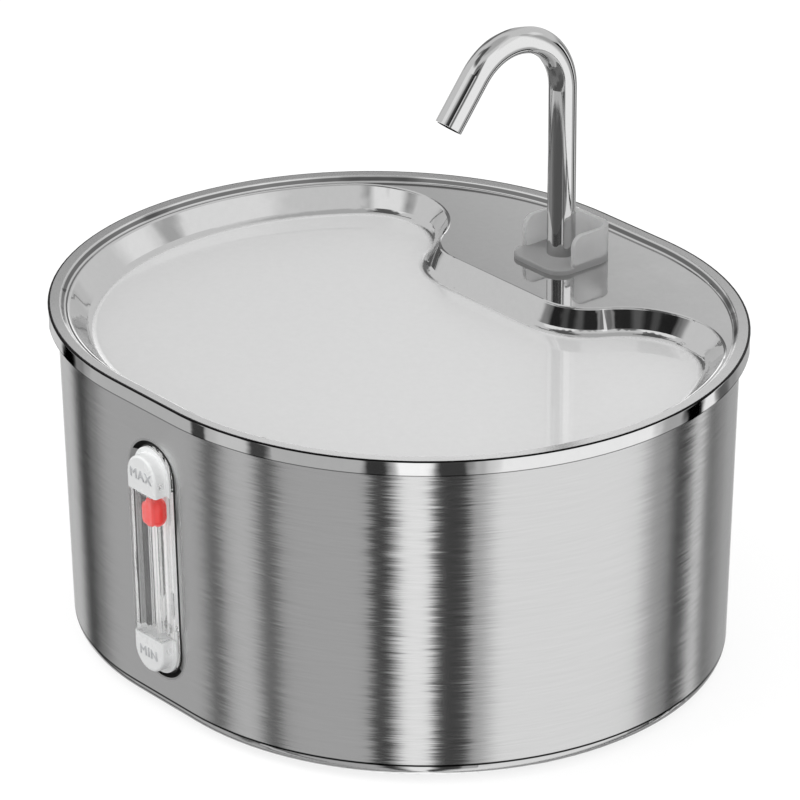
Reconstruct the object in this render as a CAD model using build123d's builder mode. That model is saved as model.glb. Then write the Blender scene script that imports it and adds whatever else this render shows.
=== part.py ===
"""Pet water fountain: an obround steel tank, a lift-off drinking tray with a gooseneck spout,
a level window with a float, and a submersible pump with its filter.

Frame: millimetres, origin on the standing surface at the centre of the tank, +Z up,
the level window towards -Y, the spout towards +Y.
"""

from build123d import *
from math import atan, cos, radians, sin, tan
import os

os.makedirs("parts", exist_ok=True)

# ---------------------------------------------------------------- driving dimensions
# Plan: every outline is an obround, two half circles joined by short flats front and back.
RIM_WIDTH = 240.0
RIM_DEPTH = 209.0
ARC_SPACING = RIM_WIDTH - RIM_DEPTH
SHEET = 0.8

# Heights
FOOT_HEIGHT = 1.5
TANK_TOP = 111.2
RIM_TOP = 115.6

# Tank
BODY_OVERHANG = 3.0
WALL_TAPER = 1.344
CORNER_RADIUS = 5.0
PANEL_ANGLE = 30.0

# Drinking tray
SKIRT_HEIGHT = 5.0
FLANGE_WIDTH = 4.1
STEP_RUN = 1.5
FLANGE_EDGE = 0.5
FLANGE_INNER_EDGE = 0.4
STEP_FOOT_RADIUS = 0.6
BASIN_LIP_RADIUS = 1.1
SHELF_DROP = 2.0
BASIN_DROP = 10.2
BASIN_TOP_INSET = 7.0
BASIN_WALL_RUN = 6.8
BASIN_BACK_RUN = 4.6
BASIN_FLOOR_RADIUS = 4.0
SHELF_FRONT_Y = 43.4
SHELF_HALF_WIDTH = 34.3
SHELF_SIDE_ANGLE = 60.0
SHELF_CORNER_RADIUS = 20.6
LOBE_RADIUS = 32.4
SHELF_OVERRUN = 20.0
RETURN_SLOT_LENGTH = 12.0
RETURN_SLOT_WIDTH = 3.6
RETURN_SLOT_RADIUS = 84.6
RETURN_SLOT_ANGLES = (-75.6, -58.0, -40.4)

# Spout
SPOUT_Y = 71.3
TUBE_RADIUS = 4.75
TUBE_WALL = 0.7
BEND_RADIUS = 21.2
BEND_ANGLE = 142.0
BEND_CENTRE_Z = 174.6
SPOUT_TIP_LENGTH = 18.6
SPOUT_BOTTOM = 80.0
RUNNING_GAP = 0.05

# Spout seat
SEAT_SIZE = 26.0
SEAT_CORNER = 6.5
SEAT_PLATE = 1.8
SEAT_HEIGHT = 12.4
SEAT_WALL = 1.8
SEAT_WALL_FRONT = -5.6
SEAT_NECK_RADIUS = 6.9
SEAT_NECK_DEPTH = 5.5
SEAT_SOFT_EDGE = 0.5
SEAT_SHOULDER_RADIUS = 4.0
SPOUT_HOLE_RADIUS = 7.0

# Level window, drawn on the slope of the front wall: x across, y up the wall, z outwards
WINDOW_Z = 56.1
SLOT_HEIGHT = 84.0
SLOT_WIDTH = 25.0
SLOT_DISH = 1.0
LENS_BASE_WIDTH = 18.0
LENS_CLEARANCE = 0.6
LENS_WIDTH = 14.6
LENS_HEIGHT = 76.9
LENS_STEP = 0.7
LENS_PROUD = 5.0
LENS_EDGE = 0.8
CAP_EDGE = 25.8
CAP_WALL = 1.2
CAP_CATCH_Y = 29.6
CAP_CATCH_LENGTH = 2.4
CAP_CATCH_BOTTOM = 1.4
CAP_CATCH_TOP = 3.4
CHANNEL_WIDTH = 8.2
CHANNEL_LENGTH = 50.0
CHANNEL_FRONT = 4.3
RIB_WIDTH = 3.0
RIB_LENGTH = 49.0
RIB_CLEARANCE = 0.4
WATER_SLOT_LENGTH = 10.0
WATER_SLOT_WIDTH = 2.0
WATER_SLOT_SPACING_X = 6.0
WATER_SLOT_SPACING_Y = 34.0
GASKET_WIDTH = 30.8
GASKET_BACK = -3.4
PLATE_WIDTH = 31.0
PLATE_HEIGHT = 98.0
PLATE_CORNER = 5.0
LENS_PLATE = 2.0
BACK_PLATE = 2.0
STUD_SPACING_X = 22.0
STUD_SPACING_Y = 89.2
STUD_RADIUS = 1.5
STUD_HOLE_RADIUS = 1.7
STUD_END = -11.0
NUT_ACROSS_FLATS = 5.5
NUT_HEIGHT = 2.4
FLOAT_RADIUS = 3.7
FLOAT_LENGTH = 10.0
FLOAT_CENTRE = 17.6
FLOAT_OFFSET = 0.3
FLOAT_END_RADIUS = 3.5

# Cable gland in the rear wall, drawn on its slope: z outwards
GLAND_Z = 92.0
GLAND_HOLE_RADIUS = 6.0
GLAND_FLANGE_RADIUS = 9.0
GLAND_FLANGE = 2.4
GLAND_PROUD = 5.05
GLAND_NOSE_RADIUS = 7.0
GLAND_INNER_END = -8.0
GLAND_FIT = 0.1
GLAND_EDGE = 1.0
GLAND_SEAL_RADIUS = 3.9
CORD_BORE_RADIUS = 2.3
GLAND_NUT_ACROSS_FLATS = 16.0
GLAND_NUT_HEIGHT = 3.2

# Feet
FOOT_RADIUS = 8.0
FOOT_EDGE = 0.4
FOOT_SPACING_X = 144.0
FOOT_SPACING_Y = 116.0

# Silicone seal round the tank's top edge, as insets from the rim outline and heights
SEAL_OUTER_INSET = 1.2
SEAL_LIP_INSET = 3.1
SEAL_INNER_INSET = 5.0
SEAL_OUTER_BOTTOM = 110.9
SEAL_INNER_BOTTOM = 108.5
SEAL_SHELF_GAP = 0.1

# Pump: its rotor axis runs along X under the spout
PUMP_Z = 26.5
PUMP_BOTTOM = 8.0
PUMP_TOP = 43.0
PUMP_HALF_DEPTH = 13.6
PUMP_CORNER = 3.0
PUMP_WALL = 1.6
PUMP_FRONT_X = -5.0
PUMP_BACK_X = 34.0
VOLUTE_RADIUS = 11.4
VOLUTE_BACK_X = 5.0
WELL_RADIUS = 6.6
WELL_WALL = 1.0
WELL_BACK_X = 27.0
OUTLET_RADIUS = 4.75
OUTLET_BORE_RADIUS = 3.3
OUTLET_TOP = 54.0
COVER_THICKNESS = 4.0
INTAKE_RADIUS = 7.5
INTAKE_HUB_RADIUS = 3.4
SPOKE_WIDTH = 1.4
SPOKE_COUNT = 3
O_RING_RADIUS = 12.4
O_RING_CORD_RADIUS = 0.5
O_RING_GROOVE_WIDTH = 1.2
DIAL_THICKNESS = 2.6
DIAL_RADIUS = 9.0
DIAL_GAP = 0.2
DIAL_WINDOW = 60.0
DIAL_WINDOW_ANGLES = (-90.0, 30.0, 150.0)
DIAL_TAB_REACH = 12.0
DIAL_TAB_WIDTH = 3.0
DIAL_PIN_RADIUS = 1.7
DIAL_PIN_HEAD_RADIUS = 2.8
DIAL_PIN_HEAD = 0.8
SHAFT_RADIUS = 1.2
BUSH_RADIUS = 2.4
BUSH_LENGTH = 2.0
MAGNET_RADIUS = 6.2
MAGNET_BACK_X = 24.6
IMPELLER_RADIUS = 10.2
IMPELLER_FRONT_X = -4.0
IMPELLER_HUB_RADIUS = 3.0
IMPELLER_DISC = 1.0
IMPELLER_BACK_GAP = 0.6
BLADE_COUNT = 6
BLADE_THICKNESS = 1.2
CORE_FRONT_X = 9.0
CORE_LENGTH = 16.0
CORE_LEG = 4.0
CORE_CLEARANCE = 0.1
CORE_BOTTOM = 11.6
CORE_TOP = 34.0
COIL_HALF_WIDTH = 6.4
COIL_THICKNESS = 1.8
BACK_PLATE_THICKNESS = 3.0
CORD_BOSS_Z = 36.0
CORD_BOSS_RADIUS = 4.2
CORD_BOSS_LENGTH = 5.0
SUCTION_FOOT_RADIUS = 5.0
SUCTION_FOOT_TAPER = 30.0
SUCTION_FOOT_CENTRE_X = 14.5
SUCTION_FOOT_SPACING_X = 29.0
SUCTION_FOOT_SPACING_Y = 17.2

# Riser hose between the pump outlet and the spout
HOSE_RADIUS = 7.0
HOSE_BOTTOM = 43.4
HOSE_TOP = 92.0

# Pump case and filter
CASE_HALF_WIDTH = 46.0
CASE_FRONT_Y = 34.6
CASE_BACK_Y = 87.8
CASE_TOP = 47.0
CASE_WALL = 1.6
CASE_CORNER = 5.0
DIVIDER_Y = 48.0
GRILLE_SLOT = 2.4
GRILLE_PITCH = 5.2
GRILLE_COUNT = 15
GRILLE_BOTTOM = 8.0
GRILLE_TOP = 42.0
CORD_NOTCH_WIDTH = 7.0
CORD_NOTCH_BOTTOM = 38.0
LID_FIT = 0.2
LID_HOSE_HOLE_RADIUS = 7.3
LID_RIB_Y = 54.0
LID_RIB_WIDTH = 24.0
LID_RIB_HEIGHT = 3.0
FOAM_LEFT_X = -44.0
FOAM_RIGHT_X = -15.0
FOAM_FRONT_Y = 52.0
FOAM_BACK_Y = 86.0
FOAM_TOP = 44.0
FOAM_CORNER = 4.0
CARTRIDGE_Y = 42.1
CARTRIDGE_WIDTH = 88.0
CARTRIDGE_DEPTH = 10.6
CARTRIDGE_HEIGHT = 42.6
CARTRIDGE_CORNER = 2.5
CARTRIDGE_BORDER = 3.0
LATTICE_PITCH = 13.6
LATTICE_COUNT = 5
LATTICE_BAR = 1.2
LATTICE_DEPTH = 0.8
PULL_TAB_WIDTH = 18.0
PULL_TAB_HEIGHT = 5.0
PAD_THICKNESS = 1.5

# ---------------------------------------------------------------- worked-out values
TAPER_SLOPE = tan(radians(WALL_TAPER))
SHELF_Z = RIM_TOP - SHELF_DROP
BASIN_FLOOR_Z = RIM_TOP - BASIN_DROP
SKIRT_BOTTOM = RIM_TOP - SKIRT_HEIGHT
TANK_FLOOR_Z = FOOT_HEIGHT + SHEET
CASE_FLOOR_Z = TANK_FLOOR_Z + CASE_WALL

# Level window: the lens base stands in the slot's hole, and all its obrounds follow the lens
BASE_HEIGHT = LENS_HEIGHT - LENS_WIDTH + LENS_BASE_WIDTH
HOLE_WIDTH = LENS_BASE_WIDTH + 2 * LENS_CLEARANCE
HOLE_HEIGHT = BASE_HEIGHT + 2 * LENS_CLEARANCE
BOSS_WIDTH = SLOT_WIDTH + 2 * SHEET
BOSS_HEIGHT = SLOT_HEIGHT + 2 * SHEET
BOSS_BACK = -SLOT_DISH - SHEET
GASKET_HEIGHT = SLOT_HEIGHT - SLOT_WIDTH + GASKET_WIDTH
LENS_BACK = GASKET_BACK - LENS_PLATE
PLATE_BACK = LENS_BACK - BACK_PLATE
RIB_FRONT = FLOAT_OFFSET - FLOAT_RADIUS - RIB_CLEARANCE

# Basin walls: the sheet's thickness measured level, on the round wall and on the shelf's wall
SIDE_SLOPE = BASIN_WALL_RUN / (BASIN_DROP - SHELF_DROP)
BACK_SLOPE = BASIN_BACK_RUN / (BASIN_DROP - SHELF_DROP)
SIDE_SHEET = SHEET / cos(atan(SIDE_SLOPE))
BACK_SHEET = SHEET / cos(atan(BACK_SLOPE))

# Pump lengths along its axis
COVER_FRONT_X = PUMP_FRONT_X - COVER_THICKNESS
SHAFT_FRONT_X = PUMP_FRONT_X - BUSH_LENGTH
IMPELLER_DISC_X = VOLUTE_BACK_X - IMPELLER_BACK_GAP - IMPELLER_DISC
POCKET_FRONT_X = VOLUTE_BACK_X + PUMP_WALL
POCKET_WIDTH = 2 * (PUMP_HALF_DEPTH - PUMP_WALL)
POCKET_HEIGHT = PUMP_TOP - PUMP_BOTTOM - 2 * PUMP_WALL
CORE_WIDTH = POCKET_WIDTH - 2 * CORE_CLEARANCE


def wall_inset(height):
    """Inset of the tank's outer wall from the rim outline at a height."""
    return BODY_OVERHANG + (RIM_TOP - height) * TAPER_SLOPE


def wall_y(height):
    """Distance of the flat front or back wall's outer face from the centre plane."""
    return RIM_DEPTH / 2 - wall_inset(height)


def rim_outline(height, inset):
    """Obround face, inset from the rim outline."""
    with BuildSketch(Plane.XY.offset(height)) as outline:
        SlotCenterToCenter(ARC_SPACING, RIM_DEPTH - 2 * inset)
    return outline.sketch


def basin_outline(height, side_inset, back_inset):
    """Basin face: the obround less the shelf at the back, whose corners are rounded."""
    back_y = RIM_DEPTH / 2 + SHELF_OVERRUN
    side_run = (back_y - SHELF_FRONT_Y) / tan(radians(SHELF_SIDE_ANGLE))
    side_shift = back_inset / sin(radians(SHELF_SIDE_ANGLE))
    front_shift = side_shift - back_inset / tan(radians(SHELF_SIDE_ANGLE))
    half_front = SHELF_HALF_WIDTH + front_shift
    front_y = SHELF_FRONT_Y - back_inset
    half_back = SHELF_HALF_WIDTH + side_run + side_shift
    with BuildSketch(Plane.XY.offset(height)) as outline:
        SlotCenterToCenter(ARC_SPACING, RIM_DEPTH - 2 * (BASIN_TOP_INSET + side_inset))
        with BuildLine():
            Polyline(
                (-half_front, front_y),
                (half_front, front_y),
                (half_back, back_y),
                (-half_back, back_y),
                close=True,
            )
        make_face(mode=Mode.SUBTRACT)
        shelf_corners = outline.vertices().filter_by_position(Axis.Y, front_y - 1, front_y + 1)
        fillet(shelf_corners, radius=SHELF_CORNER_RADIUS + back_inset)
        lobes = outline.vertices().group_by(Axis.Y)[-1]
        fillet(lobes, radius=LOBE_RADIUS - side_inset)
    return outline.sketch


def wall_plane(height, side):
    """Plane on the flat wall's outer face: x across, y up the wall, z outwards; side is -1 or 1."""
    slope = radians(WALL_TAPER)
    return Plane(
        origin=(0, side * wall_y(height), height),
        x_dir=(-side, 0, 0),
        z_dir=(0, side * cos(slope), -sin(slope)),
    )


window_plane = wall_plane(WINDOW_Z, -1)
gland_plane = wall_plane(GLAND_Z, 1)
window_outward = Axis(window_plane.origin, window_plane.z_dir)
window_upward = Axis(window_plane.origin, window_plane.y_dir)
gland_outward = Axis(gland_plane.origin, gland_plane.z_dir)


def window_slot(depth, width, height):
    """Upright obround parallel to the window plane, offset along its normal."""
    with BuildSketch(window_plane.offset(depth)) as outline:
        SlotOverall(height, width, rotation=90)
    return outline.sketch


def window_block(depth, width, height, centre=0.0):
    """Upright rectangle parallel to the window plane, offset along its normal."""
    with BuildSketch(window_plane.offset(depth)) as outline:
        with Locations((0, centre)):
            Rectangle(width, height)
    return outline.sketch


def window_panel(depth):
    """Rounded plate behind the window with its four stud holes."""
    with BuildSketch(window_plane.offset(depth)) as outline:
        RectangleRounded(PLATE_WIDTH, PLATE_HEIGHT, PLATE_CORNER)
        with GridLocations(STUD_SPACING_X, STUD_SPACING_Y, 2, 2):
            Circle(STUD_HOLE_RADIUS, mode=Mode.SUBTRACT)
    return outline.sketch


def round_face(plane, radius, hole=0.0):
    """Disc, or a ring where a hole radius is given."""
    with BuildSketch(plane) as outline:
        Circle(radius)
        if hole:
            Circle(hole, mode=Mode.SUBTRACT)
    return outline.sketch


def spout_plane(height):
    """Level plane centred on the spout's axis."""
    return Plane(origin=(0, SPOUT_Y, height))


def pump_plane(x):
    """Upright plane across the pump's axis: x towards the back wall, y up, z along +X."""
    return Plane(origin=(x, SPOUT_Y, PUMP_Z), x_dir=(0, 1, 0), z_dir=(1, 0, 0))


def pump_section(x):
    """The pump body's rounded rectangular section."""
    with BuildSketch(pump_plane(x)) as outline:
        with Locations((0, (PUMP_TOP + PUMP_BOTTOM) / 2 - PUMP_Z)):
            RectangleRounded(2 * PUMP_HALF_DEPTH, PUMP_TOP - PUMP_BOTTOM, PUMP_CORNER)
    return outline.sketch


def pocket_section(x):
    """Section of the stator pocket inside the pump body's walls."""
    with BuildSketch(pump_plane(x)) as outline:
        with Locations((0, (PUMP_TOP + PUMP_BOTTOM) / 2 - PUMP_Z)):
            RectangleRounded(POCKET_WIDTH, POCKET_HEIGHT, PUMP_CORNER - PUMP_WALL)
    return outline.sketch


def cartridge_plane(y):
    """Upright plane across the filter cartridge's thickness, facing the back wall."""
    middle_z = CASE_FLOOR_Z + CARTRIDGE_HEIGHT / 2
    return Plane(origin=(0, y, middle_z), x_dir=(-1, 0, 0), z_dir=(0, 1, 0))


def cartridge_window(y):
    """The clear opening inside the filter frame's border."""
    with BuildSketch(cartridge_plane(y)) as outline:
        Rectangle(CARTRIDGE_WIDTH - 2 * CARTRIDGE_BORDER, CARTRIDGE_HEIGHT - 2 * CARTRIDGE_BORDER)
    return outline.sketch


def case_outline(height, inset, front_y=CASE_FRONT_Y):
    """The pump case's rounded plan, kept behind front_y."""
    width = 2 * (CASE_HALF_WIDTH - inset)
    depth = CASE_BACK_Y - CASE_FRONT_Y - 2 * inset
    with BuildSketch(Plane.XY.offset(height)) as outline:
        with Locations((0, (CASE_FRONT_Y + CASE_BACK_Y) / 2)):
            RectangleRounded(width, depth, CASE_CORNER - inset)
        if front_y > CASE_FRONT_Y:
            with Locations((0, front_y - depth)):
                Rectangle(2 * width, 2 * depth, mode=Mode.SUBTRACT)
    return outline.sketch


# ---------------------------------------------------------------- tank wall and base pan
with BuildPart() as tank_shell:
    base_outline = rim_outline(FOOT_HEIGHT, wall_inset(FOOT_HEIGHT))
    extrude(base_outline, amount=TANK_TOP - FOOT_HEIGHT, taper=-WALL_TAPER)
    fillet(tank_shell.faces().sort_by(Axis.Z)[0].edges(), radius=CORNER_RADIUS)
    offset(amount=-SHEET, openings=tank_shell.faces().sort_by(Axis.Z)[-1])
    # the window slot's rim is dished inwards to the lens hole
    extrude(window_slot(BOSS_BACK, BOSS_WIDTH, BOSS_HEIGHT), amount=SLOT_DISH + SHEET / 2)
    dish_mouth = window_slot(0, SLOT_WIDTH, SLOT_HEIGHT)
    dish_foot = window_slot(-SLOT_DISH, HOLE_WIDTH, HOLE_HEIGHT)
    loft(sections=[dish_mouth, dish_foot], ruled=True, mode=Mode.SUBTRACT)
    lens_hole = window_slot(-SLOT_DISH, HOLE_WIDTH, HOLE_HEIGHT)
    extrude(lens_hole, amount=-2 * SHEET, mode=Mode.SUBTRACT)
    gland_hole = round_face(gland_plane, GLAND_HOLE_RADIUS)
    extrude(gland_hole, amount=3 * SHEET, both=True, mode=Mode.SUBTRACT)

# The wall is kept as panels that meet face to face, each nearly flat, with the rolled corner
# below them, and the base plate closes the floor.
floor_level = Plane.XY.offset(TANK_FLOOR_Z)
corner_level = Plane.XY.offset(FOOT_HEIGHT + CORNER_RADIUS)
panel_step = (RIM_DEPTH / 2 - BODY_OVERHANG) * sin(radians(PANEL_ANGLE))
with BuildPart() as tank:
    add(tank_shell.part)
    split(bisect_by=floor_level, keep=Keep.TOP)
    split(bisect_by=corner_level, keep=Keep.BOTH)
    split(bisect_by=Plane.XZ, keep=Keep.BOTH)
    for side in (-1, 1):
        split(bisect_by=Plane.YZ.offset(side * ARC_SPACING / 2), keep=Keep.BOTH)
        split(bisect_by=Plane.YZ.offset(side * (ARC_SPACING / 2 + panel_step)), keep=Keep.BOTH)
        split(bisect_by=Plane.XZ.offset(side * panel_step), keep=Keep.BOTH)
tank.part.label = "tank"
export_step(tank.part, "parts/tank.step")

with BuildPart() as tank_base:
    add(tank_shell.part)
    split(bisect_by=floor_level, keep=Keep.BOTTOM)
tank_base.part.label = "tank_base"
export_step(tank_base.part, "parts/tank_base.step")

with BuildPart() as tank_feet:
    with BuildSketch(Plane.XY):
        with GridLocations(FOOT_SPACING_X, FOOT_SPACING_Y, 2, 2):
            Circle(FOOT_RADIUS)
    extrude(amount=FOOT_HEIGHT)
    fillet(tank_feet.edges().group_by(Axis.Z)[0], radius=FOOT_EDGE)
tank_feet.part.label = "tank_feet"
export_step(tank_feet.part, "parts/tank_feet.step")

# ---------------------------------------------------------------- seal on the tank's top edge
with BuildPart() as rim_seal:
    seal_top = RIM_TOP - SHEET
    extrude(rim_outline(SEAL_OUTER_BOTTOM, SEAL_OUTER_INSET), amount=seal_top - SEAL_OUTER_BOTTOM)
    step_z = SHELF_Z - SHEET - SEAL_SHELF_GAP
    extrude(rim_outline(step_z, SEAL_LIP_INSET), amount=seal_top - step_z, mode=Mode.SUBTRACT)
    inner_leg = rim_outline(SEAL_INNER_BOTTOM, BODY_OVERHANG + SHEET / 2)
    extrude(inner_leg, amount=SEAL_OUTER_BOTTOM - SEAL_INNER_BOTTOM)
    inner_opening = rim_outline(SEAL_INNER_BOTTOM, SEAL_INNER_INSET)
    extrude(inner_opening, amount=seal_top - SEAL_INNER_BOTTOM, mode=Mode.SUBTRACT)
    add(tank_shell.part, mode=Mode.SUBTRACT)
rim_seal.part.label = "rim_seal"
export_step(rim_seal.part, "parts/rim_seal.step")

# ---------------------------------------------------------------- drinking tray
with BuildPart() as basin_inside:
    basin_mouth = basin_outline(SHELF_Z, 0, 0)
    basin_floor = basin_outline(BASIN_FLOOR_Z, BASIN_WALL_RUN, BASIN_BACK_RUN)
    loft(sections=[basin_mouth, basin_floor], ruled=True)
    fillet(basin_inside.faces().sort_by(Axis.Z)[0].edges(), radius=BASIN_FLOOR_RADIUS)

with BuildPart() as basin_outside:
    sheet_mouth = basin_outline(SHELF_Z, -SIDE_SHEET, -BACK_SHEET)
    side_inset = BASIN_WALL_RUN + SHEET * SIDE_SLOPE - SIDE_SHEET
    back_inset = BASIN_BACK_RUN + SHEET * BACK_SLOPE - BACK_SHEET
    sheet_floor = basin_outline(BASIN_FLOOR_Z - SHEET, side_inset, back_inset)
    loft(sections=[sheet_mouth, sheet_floor], ruled=True)
    fillet(basin_outside.faces().sort_by(Axis.Z)[0].edges(), radius=BASIN_FLOOR_RADIUS + SHEET)

with BuildPart() as flange_channel:
    extrude(rim_outline(SKIRT_BOTTOM, SHEET), amount=SKIRT_HEIGHT - SHEET)
    step_top = rim_outline(RIM_TOP - SHEET, FLANGE_WIDTH - SHEET)
    step_foot = rim_outline(SHELF_Z - SHEET, FLANGE_WIDTH + STEP_RUN - SHEET)
    loft(sections=[step_top, step_foot], ruled=True, mode=Mode.SUBTRACT)

with BuildPart() as drinking_tray:
    extrude(rim_outline(SKIRT_BOTTOM, 0), amount=SKIRT_HEIGHT)
    fillet(drinking_tray.faces().sort_by(Axis.Z)[-1].edges(), radius=FLANGE_EDGE)
    recess_mouth = rim_outline(RIM_TOP, FLANGE_WIDTH)
    recess_foot = rim_outline(SHELF_Z, FLANGE_WIDTH + STEP_RUN)
    loft(sections=[recess_mouth, recess_foot], ruled=True, mode=Mode.SUBTRACT)
    recess_edges = drinking_tray.edges(Select.LAST).group_by(Axis.Z)
    fillet(recess_edges[-1], radius=FLANGE_INNER_EDGE)
    fillet(recess_edges[0], radius=STEP_FOOT_RADIUS)
    add(flange_channel.part, mode=Mode.SUBTRACT)
    add(basin_outside.part)
    add(basin_inside.part, mode=Mode.SUBTRACT)
    basin_lip = drinking_tray.edges(Select.LAST).group_by(Axis.Z)[-1]
    fillet(basin_lip, radius=BASIN_LIP_RADIUS)
    spout_hole = round_face(spout_plane(SHELF_Z), SPOUT_HOLE_RADIUS)
    extrude(spout_hole, amount=-2 * SHEET, mode=Mode.SUBTRACT)
    with BuildSketch(Plane.XY.offset(BASIN_FLOOR_Z)):
        with Locations((ARC_SPACING / 2, 0)):
            for angle in RETURN_SLOT_ANGLES:
                slot_x = RETURN_SLOT_RADIUS * cos(radians(angle))
                slot_y = RETURN_SLOT_RADIUS * sin(radians(angle))
                with Locations(Location((slot_x, slot_y), angle + 90)):
                    SlotOverall(RETURN_SLOT_LENGTH, RETURN_SLOT_WIDTH)
    extrude(amount=-2 * SHEET, mode=Mode.SUBTRACT)
drinking_tray.part.label = "drinking_tray"
export_step(drinking_tray.part, "parts/drinking_tray.step")

# ---------------------------------------------------------------- spout and its seat
with BuildPart() as spout_tube:
    with BuildLine(Plane.YZ):
        riser = Line((SPOUT_Y, SPOUT_BOTTOM), (SPOUT_Y, BEND_CENTRE_Z))
        bend = JernArc(start=riser @ 1, tangent=riser % 1, radius=BEND_RADIUS, arc_size=BEND_ANGLE)
        Line(bend @ 1, bend @ 1 + (bend % 1) * SPOUT_TIP_LENGTH)
    with BuildSketch(spout_plane(SPOUT_BOTTOM)):
        Circle(TUBE_RADIUS)
        Circle(TUBE_RADIUS - TUBE_WALL, mode=Mode.SUBTRACT)
    sweep()
spout_tube.part.label = "spout_tube"
export_step(spout_tube.part, "parts/spout_tube.step")

with BuildPart() as spout_seat:
    with BuildSketch(spout_plane(SHELF_Z)):
        RectangleRounded(SEAT_SIZE, SEAT_SIZE, SEAT_CORNER)
    extrude(amount=SEAT_PLATE)
    fillet(spout_seat.faces().sort_by(Axis.Z)[-1].edges(), radius=SEAT_SOFT_EDGE)
    # upstand round the back and sides
    with BuildSketch(spout_plane(SHELF_Z + SEAT_PLATE / 2)):
        inner_size = SEAT_SIZE - 2 * SEAT_WALL
        RectangleRounded(SEAT_SIZE, SEAT_SIZE, SEAT_CORNER)
        RectangleRounded(inner_size, inner_size, SEAT_CORNER - SEAT_WALL, mode=Mode.SUBTRACT)
        with Locations((0, SEAT_WALL_FRONT - SEAT_SIZE / 2)):
            Rectangle(2 * SEAT_SIZE, SEAT_SIZE, mode=Mode.SUBTRACT)
    extrude(amount=SEAT_HEIGHT - SEAT_PLATE / 2)
    upstand_top = spout_seat.edges().group_by(Axis.Z)[-1]
    fillet(upstand_top.sort_by(Axis.Y)[:2], radius=SEAT_SHOULDER_RADIUS)
    # neck through the tray, bored for the tube
    neck_plane = spout_plane(SHELF_Z - SEAT_NECK_DEPTH)
    extrude(round_face(neck_plane, SEAT_NECK_RADIUS), amount=SEAT_NECK_DEPTH)
    seat_bore = round_face(neck_plane, TUBE_RADIUS + RUNNING_GAP)
    extrude(seat_bore, amount=SEAT_NECK_DEPTH + SEAT_PLATE, mode=Mode.SUBTRACT)
spout_seat.part.label = "spout_seat"
export_step(spout_seat.part, "parts/spout_seat.step")

# ---------------------------------------------------------------- level window
with BuildPart() as window_gasket:
    gasket_face = window_slot(GASKET_BACK, GASKET_WIDTH, GASKET_HEIGHT)
    extrude(gasket_face, amount=-SHEET - GASKET_BACK)
    boss_room = window_slot(BOSS_BACK, BOSS_WIDTH, BOSS_HEIGHT)
    extrude(boss_room, amount=SLOT_DISH, mode=Mode.SUBTRACT)
    extrude(window_slot(BOSS_BACK, HOLE_WIDTH, HOLE_HEIGHT), amount=SLOT_DISH)
    lens_bore = window_slot(GASKET_BACK, LENS_BASE_WIDTH, BASE_HEIGHT)
    extrude(lens_bore, amount=-GASKET_BACK, mode=Mode.SUBTRACT)
window_gasket.part.label = "window_gasket"
export_step(window_gasket.part, "parts/window_gasket.step")

with BuildPart() as level_window:
    extrude(window_panel(LENS_BACK), amount=LENS_PLATE)
    extrude(window_slot(LENS_BACK, LENS_BASE_WIDTH, BASE_HEIGHT), amount=-LENS_BACK)
    extrude(window_block(0, LENS_BASE_WIDTH, 2 * CAP_EDGE), amount=LENS_STEP)
    extrude(window_block(0, LENS_WIDTH, 2 * CAP_EDGE), amount=LENS_PROUD)
    lens_face = level_window.faces().sort_by(window_outward)[-1]
    fillet(lens_face.edges().filter_by(window_upward), radius=LENS_EDGE)
    float_channel = window_block(LENS_BACK, CHANNEL_WIDTH, CHANNEL_LENGTH)
    extrude(float_channel, amount=CHANNEL_FRONT - LENS_BACK, mode=Mode.SUBTRACT)
level_window.part.label = "level_window"
export_step(level_window.part, "parts/level_window.step")

with BuildPart() as level_cap_max:
    extrude(window_slot(0, LENS_BASE_WIDTH, BASE_HEIGHT), amount=LENS_STEP)
    extrude(window_slot(0, LENS_WIDTH, LENS_HEIGHT), amount=LENS_PROUD)
    fillet(level_cap_max.faces().sort_by(window_outward)[-1].edges(), radius=LENS_EDGE)
    cap_inside = window_slot(0, LENS_WIDTH - 2 * CAP_WALL, LENS_HEIGHT - 2 * CAP_WALL)
    extrude(cap_inside, amount=LENS_PROUD - CAP_WALL, mode=Mode.SUBTRACT)
    end_wall = window_block(0, LENS_WIDTH - 2 * CAP_WALL, 2 * (CAP_EDGE + CAP_WALL))
    extrude(end_wall, amount=LENS_PROUD - CAP_WALL)
    catch_depth = CAP_CATCH_TOP - CAP_CATCH_BOTTOM
    catch = window_block(CAP_CATCH_BOTTOM, LENS_BASE_WIDTH, CAP_CATCH_LENGTH, CAP_CATCH_Y)
    extrude(catch, amount=catch_depth, mode=Mode.SUBTRACT)
    below_cap = window_block(0, SLOT_WIDTH, SLOT_HEIGHT, CAP_EDGE - SLOT_HEIGHT / 2)
    extrude(below_cap, amount=LENS_PROUD, mode=Mode.SUBTRACT)
level_cap_max.part.label = "level_cap_max"
export_step(level_cap_max.part, "parts/level_cap_max.step")

with BuildPart() as level_cap_min:
    window_middle = Plane(origin=window_plane.origin, z_dir=window_plane.y_dir)
    mirror(level_cap_max.part, about=window_middle)
level_cap_min.part.label = "level_cap_min"
export_step(level_cap_min.part, "parts/level_cap_min.step")

with BuildPart() as window_back:
    extrude(window_panel(PLATE_BACK), amount=BACK_PLATE)
    extrude(window_block(LENS_BACK, RIB_WIDTH, RIB_LENGTH), amount=RIB_FRONT - LENS_BACK)
    with BuildSketch(window_plane.offset(PLATE_BACK)):
        with GridLocations(WATER_SLOT_SPACING_X, WATER_SLOT_SPACING_Y, 2, 2):
            SlotOverall(WATER_SLOT_LENGTH, WATER_SLOT_WIDTH, rotation=90)
    extrude(amount=BACK_PLATE, mode=Mode.SUBTRACT)
window_back.part.label = "window_back"
export_step(window_back.part, "parts/window_back.step")

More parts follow.
